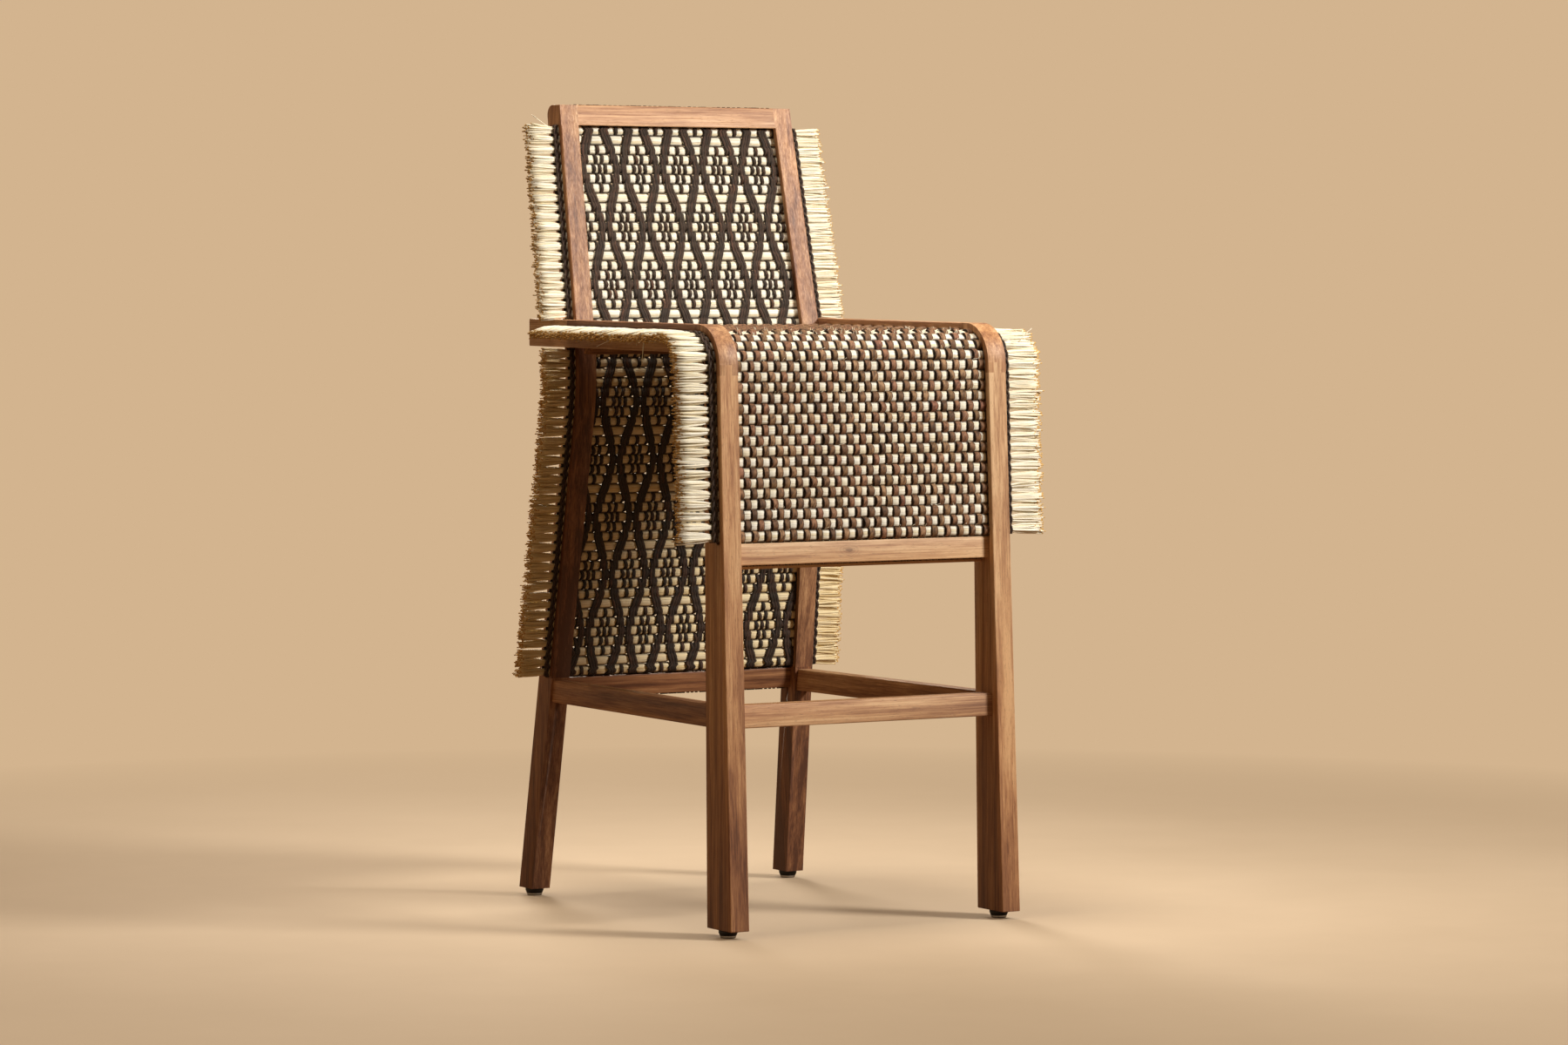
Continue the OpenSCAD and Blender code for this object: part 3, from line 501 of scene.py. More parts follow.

# %% [markdown]
# ## Uses of the straw
# Fringe straws turn a deeper gold where they are cut, and painted shade darkens them
# toward their roots. Straw low on the back gets a gold-toned painted shade, and the seat's
# bundles get painted shade where a strip passes over them; a cosine that turns with
# every strip says where.

# %% Straw materials
def straw_material(name, straws=1.0, lines=0.0, crease=0.0, cut=None, pressed=False, low_shade=False):
    """Straw on tubes; cut is the share of U where the gold-toned cut ends start."""
    material, tree, shader = start_material(name, 0.6)
    uv = made(tree, "UVMap", uv_map="UVMap")
    body, relief = use_group(tree, straw_look, UV=uv, Straws=straws, Lines=lines, Crease=crease)
    along, across, _ = parts(uv)
    if cut:
        body = mixed(along.spread(cut, cut + 0.02), body, (214, 170, 98))
        # Painted shade toward the roots, where the straws leave the plaits.
        body = mixed(along.spread(0.3, 0.0, 0.0, 0.55), body, (170, 136, 88))
    # Painted shade: a warm tint on straw below the seat.
    if low_shade:
        body = tinted_low(body, (250, 238, 210))
    # Painted shade on the straw beside and under every strip, where the strips shadow it.
    if pressed:
        middle_strip, beside = (strip_count - 1) / 2, 0.07
        strip = (along - (seat_edge + strip_shift)) * (1 / strip_pitch) + (middle_strip + beside)
        over = ((strip + across.maths("FLOOR")) * math.pi).maths("COSINE")
        body = mixed(over.spread(-0.35, 0.1, 0.0, 0.92), body, (56, 34, 16))
    body.into(shader, "Base Color")
    bump(shader, relief, 0.6, 0.0006)
    return material


seat_bundle_straw = straw_material("seat bundles", 14.0, 0.8, 0.85, pressed=True)
back_bundle_straw = straw_material("back bundles", 14.0, 0.8, 0.85, low_shade=True)
seat_fringe_straw = straw_material("seat fringe straws", cut=0.955)
back_fringe_straw = straw_material("back fringe straws", cut=0.965, low_shade=True)
loose_straw = straw_material("loose straw")
print("five straw materials")

# %% [markdown]
# ## Woven strips
# The strips are twisted fibre, brown on the seat and darker on the back. Where a strip
# comes up over a bundle it shows as one saddle, and every saddle has its own tone. U
# counts the rows and V the strips, so their whole numbers name one saddle, and white
# noise picks its tone from a small palette. Slanting streaks and blots give the fibre,
# and painted shade darkens a strip's rounded edges.

# %% Strip group
strip_look, (uv, twist) = start_group(
    "woven strip", ("Tone", "Fibre", "Height"), "UV", Twist=3.0)
whole = made(strip_look, "VectorMath", {0: uv}, operation="FLOOR")
saddle = made(strip_look, "TexWhiteNoise", {"Vector": whole}, noise_dimensions="2D")
along, across, _ = parts(uv)
streak_place = vector_of(along * 6.0, along * twist + across * 22.0)
streak = clouds(streak_place, 1.0, 4.0, 0.7)
flecks = clouds(streak_place, 3.3)
blots = clouds(streak_place, 0.45, 1.0)
# Painted shade on a strip's rounded edges.
side = abs((across * math.tau + math.pi / 8).maths("COSINE")).spread(0.5, 0.98, 0.0, 0.24)
end_group(strip_look, Tone=saddle, Fibre=streak * 0.5 + blots * 0.5 - side,
          Height=flecks + streak)


def strip_material(name, palette, twist=3.0, shaded=False):
    """Strips of fibre whose saddles take their tones from a palette."""
    material, tree, shader = start_material(name, 0.72)
    uv = made(tree, "UVMap", uv_map="UVMap")
    tone, fibre, relief = use_group(tree, strip_look, UV=uv, Twist=twist)
    # The fibre value also holds the painted shade of the edges, which this ramp darkens.
    dark = fibre.ramp((0.3, 78, 60, 46), (0.42, 160, 148, 136),
                      (0.5, 222, 216, 208), (0.6, 255, 252, 246))
    body = mixed(1.0, tone.ramp(*palette), dark, "MULTIPLY")
    if shaded:
        body = tinted_low(body, (215, 206, 196))
    body.into(shader, "Base Color")
    bump(shader, relief, 0.8, 0.0006)
    return material


# %% [markdown]
# ## Rubber and steel
# The feet are black moulded rubber on a steel base. Rubber is matt with a fine speckle,
# and turned steel has faint rings of brushing and a few dull spots.

# %% Rubber and steel
def foot_material(name, metal, fine, wide, tints, rough, strength, distance):
    """Fine noise gives the relief and sheen, wide noise mixes the two tints."""
    material, tree, shader = start_material(name)
    shader.inputs["Metallic"].default_value = metal
    place = object_place(tree)
    fine = grain_noise(place, *fine)
    wide = grain_noise(place, *wide[:2]).spread(*wide[2:])
    mixed(wide, *tints).into(shader, "Base Color")
    fine.spread(0.3, 0.7, *rough).into(shader, "Roughness")
    bump(shader, fine, strength, distance)
    return material


rubber = foot_material("foot rubber", 0.0, ((900, 900, 900), 3.0),
                       ((60, 60, 90), 4.0, 0.45, 0.75, 0.0, 0.5),
                       ((30, 29, 28), (62, 58, 53)), (0.5, 0.75), 0.2, 0.0002)
steel = foot_material("bright steel", 1.0, ((500, 500, 4000), 2.0),
                      ((150, 150, 150), 3.0, 0.5, 0.75, 0.0, 0.6),
                      ((186, 184, 180), (128, 122, 114)), (0.25, 0.45), 0.1, 0.0001)
print("rubber and steel made")

# %% [markdown]
# ## The wooden frame
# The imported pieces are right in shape, but their edges are knife sharp, and a real edge
# is eased with sandpaper. A copy of each node is merged, cleared of flat triangles and
# bevelled. Edges that touch another piece and the rims of holes stay sharp, so that the
# joints close as thin lines. The tables give the way of each grain and its tone, of the
# left and right piece where there are two.

# %% The woods of the frame
wooden = {}
# Some tones are painted light: the left seat rail is lighter to make up for its side in shade, and
# the left lower back strip is darker for the shade under the seat.
for name, axis, left, right in (
        ("front_leg", "Z", 0.68, 0.67), ("rear_leg", "Z", 0.44, 0.38),
        ("corner_block", "Z", 0.41, 0.47), ("seat_rail", "Y", 0.68, 0.4),
        ("front_strip", "Z", 0.74, 0.82), ("corner_strip", "Z", 0.44, 0.52),
        ("seat_strip", "Y", 0.26, 0.45), ("back_strip", "Z", 0.44, 0.38),
        ("lower_back_strip", "Z", 0.24, 0.42)):
    wooden[name + "_left"], wooden[name + "_right"] = (axis, left), (axis, right)
# The apron batten's light tone is painted light on wood that lies in the apron rail's shadow.
for name, tone in (("top_rail", 0.4), ("rear_bottom_rail", 0.53), ("apron_rail", 0.81),
                   ("seat_rear_rail", 0.37), ("top_batten", 0.32), ("rear_bottom_batten", 0.5),
                   ("apron_batten", 0.9), ("seat_rear_batten", 0.37), ("footrest_rail", 0.675)):
    wooden[name] = ("X", tone)
wooden |= {"stretcher_left": ("Y", 0.47), "stretcher_right": ("Y", 0.54)}
rises = {"rear_leg_left": 0.05, "back_strip_left": 0.05}
same_board = {"back_strip_left": "rear_leg_left", "back_strip_right": "rear_leg_right"}
knots = {"apron_rail": (-0.0228, -0.2501, 0.4767, 0.0042),
         "front_leg_right": (0.1952, -0.2756, 0.1604, 0.0032)}
print(len(wooden), "wooden pieces,", len(knots), "with a knot")

# %% Edges to ease
touch_gap, sharp_angle = 0.0006, math.radians(25)
rim_edge, rim_corners = 0.003, 12
bevel_width = 0.0012


def merged_copy(name):
    """A node's mesh as a bmesh, its loose triangles merged and flat faces joined."""
    bm = bmesh.new()
    bm.from_mesh(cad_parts[name].data)
    bmesh.ops.remove_doubles(bm, verts=bm.verts, dist=1e-5)
    bmesh.ops.dissolve_limit(bm, angle_limit=math.radians(0.6), verts=bm.verts, edges=bm.edges)
    return bm


copies = {name: merged_copy(name) for name in wooden}
trees = {name: BVHTree.FromBMesh(bm) for name, bm in copies.items()}


def touches(point, own):
    """True where a point of one piece lies on another piece."""
    return any(tree.find_nearest(point, touch_gap)[0] is not None
               for name, tree in trees.items() if name != own)


def free_edges(name):
    """Sharp outer edges of a piece that touch nothing and bound no hole."""
    found = []
    for edge in copies[name].edges:
        if not edge.is_manifold or not edge.is_convex or edge.calc_face_angle(0) < sharp_angle:
            continue
        at_rim = any(len(face.verts) > rim_corners for face in edge.link_faces)
        if at_rim and edge.calc_length() < rim_edge:
            continue
        a, b = (v.co for v in edge.verts)
        if not any(touches(a.lerp(b, share), name) for share in (0.25, 0.5, 0.75)):
            found.append(edge)
    return found


print(sum(len(bm.edges) for bm in copies.values()), "edges in", len(copies), "wooden pieces")

# %% Wooden pieces
order = list(wooden)
for name, (axis, tone) in wooden.items():
    seed = order.index(same_board.get(name, name))
    bm = copies[name]
    bmesh.ops.bevel(bm, geom=free_edges(name), offset=bevel_width, offset_type="OFFSET",
                    affect="EDGES", segments=2, profile=0.5, material=-1, clamp_overlap=True)
    piece = finished(name + "_eased", bm)
    piece.data.set_sharp_from_angle(angle=math.radians(28))
    material = wood("wood of " + name.replace("_", " "), axis, tone, seed, knots.get(name),
                    rises.get(name, 0.35))
    dressed(piece, material, "frame_wood", name)

# %% [markdown]
# ## Straw bundles of the seat
# Forty-seven bundles of straw run across the stool and show their ends as the fringe.
# Where a strip passes over a bundle it squeezes the straw, and where the strip is behind
# the straw swells out. A cosine that turns with every strip gives both. Every second
# side of the tube lies a little deeper, which reads as separate straws. Smooth noise
# lets the rows stray, as rows laid by hand do.

# %% Places in the seat
seat_rows = 47
seat_row = mat_run / seat_rows
bundle_sides = 16
bundle_share = 0.54
seat_slot = front_half - frame_w


def strip_x(strip):
    return (strip - (strip_count - 1) / 2) * strip_pitch + strip_shift


def lobe(side):
    """Share of the radius at a side of a bundle."""
    return 1.0 if side % 2 else 0.93


def full(value):
    """Makes the section of a pressed bundle a little squarer than a circle."""
    return math.copysign(abs(value) ** 0.8, value)


def row_sway(row, x):
    """How far a hand-laid bundle strays from its even place at x."""
    slow = noise.noise(Vector((x * 14, row * 0.9, 3.3)))
    quick = noise.noise(Vector((x * 60, row * 7.7, 8.8)))
    return 0.0013 * slow + 0.0009 * quick


print("row pitch of the seat:", round(seat_row, 5))

# %% Seat bundles
seat_rings = 135
corner_row = 28
seat_half, seat_swell = 0.0042, 0.0009


def seat_bundle(first):
    """Places the vertices of the bundles from row first on."""
    def place(tube, ring, side):
        row = first + tube
        x = seat_edge * (2 * ring / seat_rings - 1)
        t = (x - strip_x(0)) / strip_pitch
        swell = -math.cos(math.pi * (t + row)) if abs(x) < seat_slot else 0.0
        wander = noise.noise(Vector((x * 35, row * 5.3, 1.7)))
        angle = math.tau * side / bundle_sides
        out = full(math.sin(angle))
        half_out = seat_half + seat_swell * swell * (1 if out > 0 else -1) + 0.0003 * wander
        half_run = bundle_share * seat_row + 0.0002 * wander
        middle, up = seat_place((row + 0.5) * seat_row + row_sway(row, x), 0.0)
        run = up.cross(Vector((1, 0, 0)))
        spot = middle + up * (out * half_out * lobe(side))
        spot += run * (full(math.cos(angle)) * half_run * lobe(side))
        return at_x(x, spot)
    return place


for name, first, last in (("seat_straw", 0, corner_row), ("apron_straw", corner_row, seat_rows)):
    piece = roll_tubes(name, last - first, seat_rings, bundle_sides, seat_bundle(first),
                       run=2 * seat_edge)
    dressed(piece, seat_bundle_straw, "straw", "seat_mat")

# %% [markdown]
# ## Strips of the seat
# Thirty-nine strips run from the rear rail over the corner and down to the apron rail.
# In this plain weave a strip goes over one bundle and under the next, and its neighbour
# does the opposite. Half an ellipse over each bundle wraps the strip round it. Both ends
# turn down behind a rail, where a batten clamps them. A little chance in every saddle
# keeps the weave from looking printed.

# %% Ribbons
def ribbon(centres, widths, across, thick, thin):
    """Sections of a ribbon through centres, each with its own normal."""
    sections = []
    for i, (centre, width) in enumerate(zip(centres, widths)):
        tangent = centres[min(i + 1, len(centres) - 1)] - centres[max(i - 1, 0)]
        normal = across.cross(tangent.normalized()).normalized()
        sections.append((centre, normal, width, thick, thin))
    return sections


def ribbon_point(section, across, side, sides):
    """Point on a section whose sides are as full as a rounded rectangle's."""
    centre, normal, width, thick, thin = section
    angle = math.tau * (side + 0.5) / sides
    wide, high = (math.copysign(math.sqrt(abs(v)), v) for v in (math.cos(angle), math.sin(angle)))
    return centre + across * (width * wide) + normal * (high * (thick if high > 0 else thin))


def front_y(z, depth):
    """Y at a depth behind the front of the legs."""
    return y0 - front_rake * (seat_h - z) / seat_h + depth / math.cos(rake_a)


print("ribbons are ready")

# %% Paths of the seat strips
strip_steps = 6
wrap_half, seat_strip_half, seat_tail_half = 0.0063, 0.0041, 0.004
# Heights and depths of the ends that turn down behind a rail.
rear_turn = [(0.7204, 0.387), (0.734, 0.387), (0.7435, 0.3872)]
apron_turn = [(0.4906, 0.0185), (0.4902, 0.0248), (0.4875, 0.0264), (0.474, 0.0264),
              (0.4595, 0.0264)]
strip_rings = seat_rows * strip_steps + len(rear_turn) + len(apron_turn)
right = Vector((1, 0, 0))


def seat_ribbon(strip):
    """Sections of one strip, from behind the seat to behind the apron rail."""
    chance = random.Random(100 + strip)
    x = strip_x(strip)
    astray = [chance.gauss(0, 0.0005) for _ in range(seat_rows + 1)]
    centres = [Vector((x, y0 + depth, z)) for z, depth in rear_turn]
    widths = [seat_tail_half] * len(rear_turn)
    for step in range(seat_rows * strip_steps + 1):
        row = min(step // strip_steps, seat_rows - 1)
        phi = math.pi * (step / strip_steps - row)
        if step % strip_steps == 0:
            lean, fat = chance.gauss(0, 0.0006), chance.gauss(0, 0.0005)
            if chance.random() < 0.06:
                lean += 0.0016
        over = 1 if (row + strip) % 2 == 0 else -1
        run = (row + 0.5) * seat_row - (0.5 * seat_row + 0.0002 * over) * math.cos(phi)
        run += row_sway(row, x) * math.sin(phi)
        spot, up = seat_place(run, over * wrap_half * math.sin(phi))
        slant = astray[row] + (astray[row + 1] - astray[row]) * phi / math.pi
        centres.append(at_x(x + slant + lean * math.sin(phi), spot))
        bulge = (0.0003 + fat) * math.sin(phi)
        widths.append(seat_strip_half + bulge + chance.gauss(0, 0.00015))
    centres += [Vector((x, front_y(z, depth), z)) for z, depth in apron_turn]
    widths += [seat_tail_half] * len(apron_turn)
    return ribbon(centres, widths, right, 0.0017, 0.0008)


seat_ribbons = [seat_ribbon(strip) for strip in range(strip_count)]
print(len(seat_ribbons), "strips of", strip_rings + 1, "sections")

# %% Seat strips
seat_palette = [(0.0, 112, 80, 54), (0.3, 154, 114, 80), (0.5, 162, 114, 84),
                (0.7, 138, 105, 68), (0.88, 184, 145, 108), (1.0, 160, 108, 84)]
piece = roll_tubes("seat_strips", strip_count, strip_rings, 8,
                   lambda tube, ring, side: ribbon_point(seat_ribbons[tube][ring], right, side, 8),
                   run=strip_rings / strip_steps, start=-len(rear_turn) / strip_steps)
dressed(piece, strip_material("seat strips", seat_palette), "woven_strips", "seat_mat")

# %% [markdown]
# ## The draft of the back
# The back is woven the same way, but its dark strips stay in front or behind for several
# bundles at a time and draw diamonds. Such a pattern is called a twill, and weavers
# write it as a draft: for each row, which strips lie in front. A diamond is twelve
# strips wide and twelve rows high, the same in all four quarters, so seven strips of
# four rows are enough. Strips that float together are drawn close and leave patches of
# bare straw beside them, so every row has its own places too.

# %% Draft of the back
back_rows = 57
back_row = (back_mat_high - back_mat_low) / back_rows
warp_pitch = 0.00505
fronts = {"E": "..xxx..", "F": "..xxx.x", "G": ".xxx.x.", "H": "xxx.x.x"}
places = {"E": (0, 1.0, 2.2, 3.0, 3.8, 5.0, 6), "F": (0, 0.65, 1.38, 2.14, 2.9, 4.45, 6),
          "G": (0, 0.92, 1.58, 2.24, 3.7, 5.16, 6), "H": (0, 0.68, 1.36, 2.9, 4.47, 5.23, 6)}
for early, late in ("DF", "CG", "BH"):
    fronts[early] = fronts[late][::-1]
    places[early] = tuple(6 - place for place in places[late][::-1])
draft_rows = "BCDEFGHGFEDC"


def row_kind(row):
    return draft_rows[(row - 4) % 12]


def in_front(row, warp):
    """True where a dark strip of the back lies in front of a bundle."""
    index = warp % 12
    return fronts[row_kind(row)][min(index, 12 - index)] == "x"


def warp_x(row, warp):
    """Where a strip lies in a row, drawn to the strips that float with it."""
    repeat, index = divmod(warp, 12)
    half = places[row_kind(row)]
    place = half[index] if index <= 6 else 12 - half[12 - index]
    return warp_pitch * (12 * repeat + place)


def back_row_z(row):
    return back_mat_high - (row + 0.5) * back_row


for row in range(4, 11):
    print("".join("#" if in_front(row, warp) else "." for warp in range(-12, 13)))

# %% [markdown]
# ## Straw bundles of the back
# Fifty-seven bundles fill the back. Each swells where no strip presses it and is lower
# beside a strip, where small gaps let the light through.

# %% Back bundles
back_rings = 162
back_half, back_swell, back_gap = 0.0044, 0.0007, 0.11


def post_slot(z):
    """Half width of the opening between the rear legs."""
    return post_half(z) - frame_w


def back_bundle(first):
    """Places the vertices of the bundles from row first on."""
    def place(tube, ring, side):
        row = first + tube
        z = back_row_z(row)
        x = (post_half(z) + 0.001) * (2 * ring / back_rings - 1)
        low = max(warp for warp in range(-44, 45) if warp_x(row, warp) <= x)
        share = (x - warp_x(row, low)) / (warp_x(row, low + 1) - warp_x(row, low))
        ends = [-1.0 if in_front(row, low + k) else 1.0 for k in (0, 1)]
        ease = share * share * (3 - 2 * share)
        swell = ends[0] * (1 - ease) + ends[1] * ease if abs(x) < post_slot(z) else 0.0
        wander = noise.noise(Vector((x * 35, row * 5.3, 7.1)))
        angle = math.tau * side / bundle_sides
        out = full(math.sin(angle))
        half_out = back_half + back_swell * swell * (1 if out > 0 else -1) + 0.0002 * wander
        half_high = (bundle_share - back_gap * max(0.0, -swell)) * back_row
        height = full(math.cos(angle)) * half_high * lobe(side)
        spot, ahead = back_place(z + 0.0004 * wander, out * half_out * lobe(side))
        spot -= Vector((1, 0, 0)).cross(ahead) * height
        return at_x(x, spot)
    return place


for number, first in enumerate(range(0, back_rows, 19)):
    piece = roll_tubes(f"back_straw_{number + 1}", 19, back_rings, bundle_sides,
                       back_bundle(first), run=0.4)
    dressed(piece, back_bundle_straw, "straw", "back_mat")

# %% [markdown]
# ## Dark strips of the back
# Each strip is a ribbon again. Its height out of the mat is worked out at every bundle
# and halfway between two: it crosses the mat where the draft changes sides, and floats
# where it stays. The back is narrower at the top, so the outer strips start lower down,
# where they come out from behind the post.

# %% Paths of the back strips
back_steps = 4
back_strip_half, back_tail_half, back_wrap = 0.0023, 0.0021, 0.0058
top_turn = [(1.032, 0.0173), (1.0195, 0.0168)]
bottom_turn = [(0.2923, 0.018), (0.2921, 0.0255), (0.2905, 0.0274), (0.276, 0.0274),
               (0.2615, 0.0274)]


def turn_places(x, turn):
    """Places behind the top or bottom rail, from (height, depth behind the legs' front)."""
    return [Vector((x, y0 + bend_back + bent(z - bend_z) + depth, z)) for z, depth in turn]


def back_ribbon(warp, first):
    """Sections of one strip from row first down to the bottom rail."""
    chance = random.Random(500 + warp)
    sides = [1 if in_front(row, warp) else -1 for row in range(back_rows)]
    sides = [sides[0], *sides, sides[-1]]
    centres, widths = [], []
    if first == 0:
        top = 1.0455 + chance.uniform(0, 0.0008)
        centres = turn_places(warp_x(0, warp), [(top, 0.0173), *top_turn])
        widths = [back_strip_half] * len(centres)
    for step in range(first * back_steps, back_rows * back_steps + 1):
        row, part = divmod(step, back_steps)
        if part == 0:
            lean = chance.gauss(0, 0.0002)
            above, own = sides[row], sides[row + 1]
            level = 0.0 if above != own or row in (0, back_rows) else 0.8 * above
        else:
            own, other = sides[row + 1], sides[row + (2 if part > back_steps / 2 else 0)]
            level = own * (1.0 if part == back_steps / 2 or other == own else 0.86)
        z = back_mat_high - step / back_steps * back_row
        spot, ahead = back_place(z, level * back_wrap)
        before, share = divmod(step / back_steps - 0.5, 1)
        before = min(max(int(before), 0), back_rows - 2)
        x = warp_x(before, warp) * (1 - share) + warp_x(before + 1, warp) * share
        centres.append(at_x(x + lean, spot))
        widths.append(back_strip_half + 0.00025 * abs(level))
    centres += turn_places(x, bottom_turn)
    widths += [back_tail_half] * len(bottom_turn)
    return ribbon(centres, widths, -right, 0.001, 0.0007)


starts = {}
for warp in range(-34, 35):
    rows = [row for row in range(back_rows)
            if abs(warp) * warp_pitch < post_slot(back_row_z(row)) + 0.001]
    if rows:
        starts.setdefault(max(rows[0] - 1, 0), []).append(warp)
print("strips by their first row:", {row: len(warps) for row, warps in starts.items()})

# %% Back strips
back_palette = [(0.0, 54, 38, 25), (0.3, 70, 50, 33), (0.55, 82, 56, 39),
                (0.8, 62, 47, 30), (1.0, 104, 70, 50)]
back_strip_material = strip_material("back strips", back_palette, shaded=True)
for first, warps in starts.items():
    ribbons = [back_ribbon(warp, first) for warp in warps]
    rings = len(ribbons[0]) - 1
    piece = roll_tubes("back_strips" if first == 0 else f"back_strips_from_{first}",
                       len(warps), rings, 6,
                       lambda tube, ring, side: ribbon_point(ribbons[tube][ring], -right, side, 6),
                       run=rings / back_steps, start=-0.75 if first == 0 else 0.0)
    dressed(piece, back_strip_material, "woven_strips", "back_mat")

# %% [markdown]
# ## Plaited edges
# Beside the frame a flat plait of three dark strands runs down each edge of the mats, on
# both faces, and holds the straw together. Three sine waves, a third of a turn apart,
# give the strands' places, and a wave of twice the speed lifts them over each other.
# The side rails cut the back's plaits in two, and its right ones are looser.

# %% Plaits
plait_steps = 6


def plait(name, rows, spot_at, node):
    """A flat plait on each face; spot_at(row, sideways, out) places them."""
    def place(tube, ring, side):
        face, strand = (1, -1)[tube // 3], tube % 3
        row = ring / plait_steps
        turn = math.tau * (row / 3 + strand / 3)
        angle = math.tau * side / 6
        sideways = 0.42 + 0.25 * math.sin(turn) + 0.17 * math.cos(angle)
        lift = 0.001 * math.sin(2 * turn) + 0.0013 * math.sin(angle)
        return spot_at(row, sideways, face * (0.0042 + lift))
    piece = roll_tubes(name, 6, rows * plait_steps, 6, place, run=float(rows))
    dressed(piece, plait_material, "woven_strips", node)


plait_palette = [(0.0, 58, 40, 30), (0.4, 82, 58, 42), (0.7, 70, 50, 38), (1.0, 100, 74, 54)]
plait_material = strip_material("plaited edges", plait_palette, 5.0)
rail_low_z, rail_high_z = 0.7268, 0.7646
for word, way, back_braid in (("left", -1, 0.0095), ("right", 1, 0.0135)):
    def seat_spot(row, sideways, out):
        spot, up = seat_place(row * seat_row, out)
        return at_x(way * (seat_edge + seat_braid * sideways), spot)

    plait(f"seat_plait_{word}", seat_rows, seat_spot, f"seat_braid_{word}")
    for part, top, bottom in (("upper", back_mat_high, rail_high_z),
                              ("lower", rail_low_z, back_mat_low)):
        def back_spot(row, sideways, out):
            z = top - row * back_row
            spot, ahead = back_place(z, out)
            return at_x(way * (post_half(z) + back_braid * sideways), spot)

        plait(f"{part}_back_plait_{word}", round((top - bottom) / back_row), back_spot,
              f"back_braid_{word}")

# %% [markdown]
# ## Fringes
# Outside the plait every bundle opens like a small brush. Three dozen straws start
# close together between the two plaits and spread until they meet their neighbours,
# and each has its own length. The dark wedges between the brushes come by themselves.
# The brushes along the side rails rise over the rail and droop to their cut ends.

# %% One fringe
fringe_straws = 36
ring_shares = (0.0, 0.2, 0.38, 0.7, 1.0)
flares = (0.68, 0.6, 0.86, 0.98, 1.02)
hidden = 0.011


def fringe(name, rows, start, reach, half_pitch, spot_at, seed, material, ragged, node, sag=0.0):
    """A brush for each bundle; spot_at(row, x, along, out) places a point."""
    chance = random.Random(seed)
    straws = []
    for row in rows:
        for _ in range(fringe_straws):
            turn, far = chance.uniform(0, math.tau), math.sqrt(chance.uniform(0.02, 1))
            end = start + reach - chance.triangular(-0.2 * ragged, ragged, 0.002)
            stray = chance.gauss(0, 0.0012), chance.gauss(0, 0.0012)
            radius = chance.uniform(0.0008, 0.00125)
            straws.append((row, far * math.cos(turn), far * math.sin(turn), end, stray, radius))

    def place(tube, ring, side):
        row, a, b, end, stray, radius = straws[tube]
        share, angle = ring_shares[ring], math.tau * side / 5
        x = (start - hidden) + (end - start + hidden) * share
        along = a * half_pitch * flares[ring] + stray[0] * share * share
        arch = sag * min(1.0, max(0.0, (27 - row) / 4))
        droop = arch * (share * share - 3.2 * share * (1 - share))
        thick = 0.003 + (0.0032 - 0.3 * arch) * max(0.0, share - 0.2)
        out = b * thick + stray[1] * share * share - droop
        thin = radius * (1.0 if ring < 4 else 0.8)
        return spot_at(row, x, along + thin * math.cos(angle), out + thin * math.sin(angle))

    piece = roll_tubes(name, len(straws), len(ring_shares) - 1, 5, place)
    dressed(piece, material, "straw", node)


print(fringe_straws, "straws to a bundle")

# %% Fringes
row_heights = [back_row_z(row) for row in range(back_rows)]
upper = [z for z in row_heights if z - back_row / 2 > rail_high_z - 0.002]
lower = [z for z in row_heights if z + back_row / 2 < rail_low_z + 0.002]
for word, way in (("left", -1), ("right", 1)):
    def seat_spot(row, x, along, out):
        spot, up = seat_place((row + 0.5) * seat_row + along, out)
        return at_x(way * x, spot)

    def back_spot(height, x, along, out):
        spot, ahead = back_place(height - along, out)
        return at_x(way * (post_half(height) + x), spot)

    for name, rows, seed, ragged, node, sag in (
            ("seat_straw_fringe", range(corner_row), 11, 0.006, "seat_fringe", 0.0048),
            ("apron_straw_fringe", range(corner_row, seat_rows), 21, 0.013, "apron_fringe", 0.0)):
        fringe(f"{name}_{word}", rows, seat_edge + seat_braid, seat_fringe, seat_row / 2, seat_spot,
               seed + way, seat_fringe_straw, ragged, f"{node}_{word}", sag)
    for part, heights, seed in (("upper", upper, 31), ("lower", lower, 41)):
        fringe(f"{part}_back_straws_{word}", heights, 0.0095, 0.039, back_row / 2, back_spot,
               seed + way, back_fringe_straw, 0.01, f"{part}_back_fringe_{word}")

# %% [markdown]
# ## Stray straws
# A few long straws have come loose beside the fringes, and short tips stand up between
# the rows of the seat. Each has a start, an end, a sag and a radius.

# %% Stray straws
chance = random.Random(7)
loose = [
    ((-0.176, 0.2345, 1.01), (-0.2111, 0.2375, 1.0312), 0.002, 0.0007),
    ((-0.266, -0.159, 0.744), (-0.268, -0.1563, 0.7135), 0.001, 0.001),
    ((-0.262, -0.086, 0.744), (-0.269, -0.0408, 0.7315), 0.001, 0.0005),
    ((-0.264, -0.142, 0.742), (-0.269, -0.1231, 0.7358), 0.002, 0.0004),
    ((-0.264, -0.142, 0.743), (-0.269, -0.1442, 0.7339), 0.004, 0.0004),
    ((0.236, -0.242, 0.736), (0.2564, -0.242, 0.7535), 0.001, 0.0006),
]
for _ in range(150):
    row = chance.choice((24, 25, 26, 27, 27, 28, 29, 30, 33, 38, 44, 46))
    x = chance.uniform(-0.17, 0.17)
    spot, up = seat_place(row * seat_row, 0.0035)
    tip = spot + up * chance.uniform(0.002, 0.005)
    tip += Vector((chance.gauss(0, 0.0025), 0, chance.uniform(0, 0.003)))
    loose.append((at_x(x, spot), at_x(x + tip.x, tip), 0.0004, 0.0005))


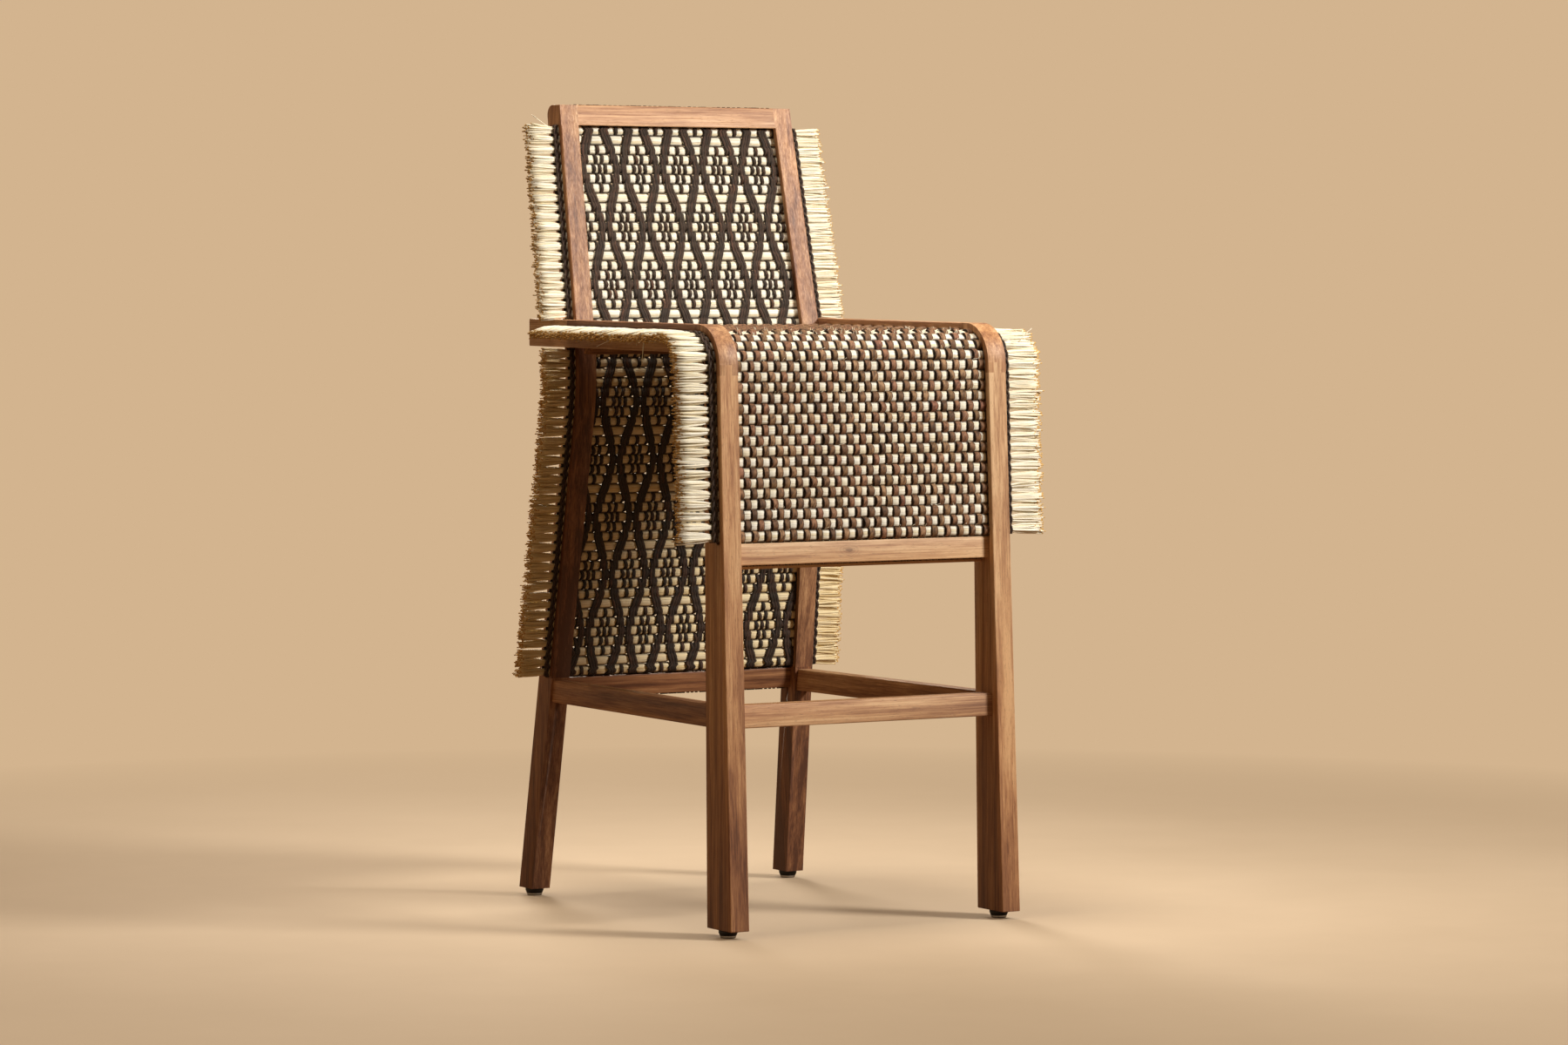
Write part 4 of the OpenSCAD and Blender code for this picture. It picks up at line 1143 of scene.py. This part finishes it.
def loose_place(tube, ring, side):
    start, end, sag, radius = loose[tube]
    share, angle = ring / 4, math.tau * side / 5
    line = (Vector(end) - Vector(start)).normalized()
    flat = line.orthogonal().normalized()
    over = line.cross(flat)
    spot = Vector(start).lerp(end, share) + flat * (sag * math.sin(math.pi * share))
    return spot + (flat * math.cos(angle) + over * math.sin(angle)) * radius * (1 - 0.4 * share)


dressed(roll_tubes("loose_straws", len(loose), 4, 5, loose_place), loose_straw, "straw")

# %% [markdown]
# ## Feet, screws and dowels
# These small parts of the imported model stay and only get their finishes.

# %% Small parts
dowel_wood = wood("dowel wood", "X", 0.7, 77)
for name, material in (("foot_cushions", rubber), ("foot_bases", steel), ("foot_screws", steel),
                       ("seat_rail_screws", steel), ("batten_screws", steel),
                       ("rail_dowels", dowel_wood), ("footrest_dowels", dowel_wood)):
    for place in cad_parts[name].material_slots:
        place.material = material
    print(name, "wears", material.name)

# %% [markdown]
# ## Floor, background and light
# The photo is lit from the front right, with the left sides in warm shade. A key lamp
# stands there, a weak one fills the other side, and one above and one behind light the
# seat and the back's edges. A wall would hide the stool's back, so there is only a
# round floor. The camera sees it fade into the world's pale colour, and for light that
# bounces it is darker, so that the shaded sides stay dark.

# %% Floor
pale = colour(211, 180, 143)
bm = bmesh.new()
bmesh.ops.create_circle(bm, cap_ends=True, cap_tris=True, segments=96, radius=16)
floor = finished("floor", bm, smooth=False)
floor_material, tree, shader = start_material("pale floor", 0.9)
place = object_place(tree)
cloud = grain_noise(place, (1.2, 1.2, 1.2), 5.0, 0.6)
ray = made(tree, "LightPath", out="Is Camera Ray")
seen_floor = cloud.ramp((0.3, 200, 176, 146), (0.7, 214, 190, 160))
mixed(ray, (132, 103, 72), seen_floor).into(shader, "Base Color")
fade = length(place).spread(0.7, 2.3, 0.1, 1.0) * ray
faded = add(tree, "Emission", {"Color": pale})
blend = add(tree, "MixShader", {0: fade, 1: shader.outputs[0], 2: faded.outputs[0]})
tree.links.new(blend.outputs[0], tree.nodes["Material Output"].inputs["Surface"])
floor.data.materials.append(floor_material)
print("floor made")

# %% Lamps and world
for name, place, aim, size, watts, tint, spread in (
        ("key", (1.9, -2.3, 2.3), (0, 0.1, 0.95), 0.9, 41, (1.0, 0.97, 0.91), 100),
        ("fill", (-2.7, -0.2, 2.3), (0, 0, 0.8), 1.6, 6.5, (1.0, 0.64, 0.34), 180),
        ("top", (-0.2, 0.1, 3.2), (0, 0.1, 0.8), 1.0, 6, (1.0, 0.93, 0.82), 60),
        ("back", (0.9, 3.3, 1.7), (0, 0.2, 0.7), 1.2, 17, (1.0, 0.93, 0.82), 80)):
    light = bpy.data.lights.new(name, "AREA")
    light.shape, light.size = "DISK", size
    light.energy, light.color, light.spread = watts, tint, math.radians(spread)
    lamp = bpy.data.objects.new(name, light)
    lamp.location = place
    lamp.rotation_euler = (Vector(aim) - Vector(place)).to_track_quat("-Z", "Y").to_euler()
    scene.collection.objects.link(lamp)

world = bpy.data.worlds.new("studio")
scene.world = world
world.use_nodes = True
tree = world.node_tree
rays = add(tree, "LightPath").outputs
seen = Value(rays["Is Camera Ray"])
for kind in ("Is Glossy Ray", "Is Transmission Ray"):
    seen = seen.maths("MAXIMUM", Value(rays[kind]))
backdrop = add(tree, "Background", {"Color": pale, "Strength": 1.0})
ambient = add(tree, "Background", {"Color": (1.0, 0.62, 0.32, 1.0), "Strength": 0.07})
chosen = add(tree, "MixShader", {0: seen, 1: ambient.outputs[0], 2: backdrop.outputs[0]})
tree.links.new(chosen.outputs[0], tree.nodes["World Output"].inputs["Surface"])
scene.view_settings.view_transform = "Standard"
print("lamps and world made")

# %% [markdown]
# ## Finish
# The dressed stool may be only a little larger than the imported one.

# %% Finish
print("finished")
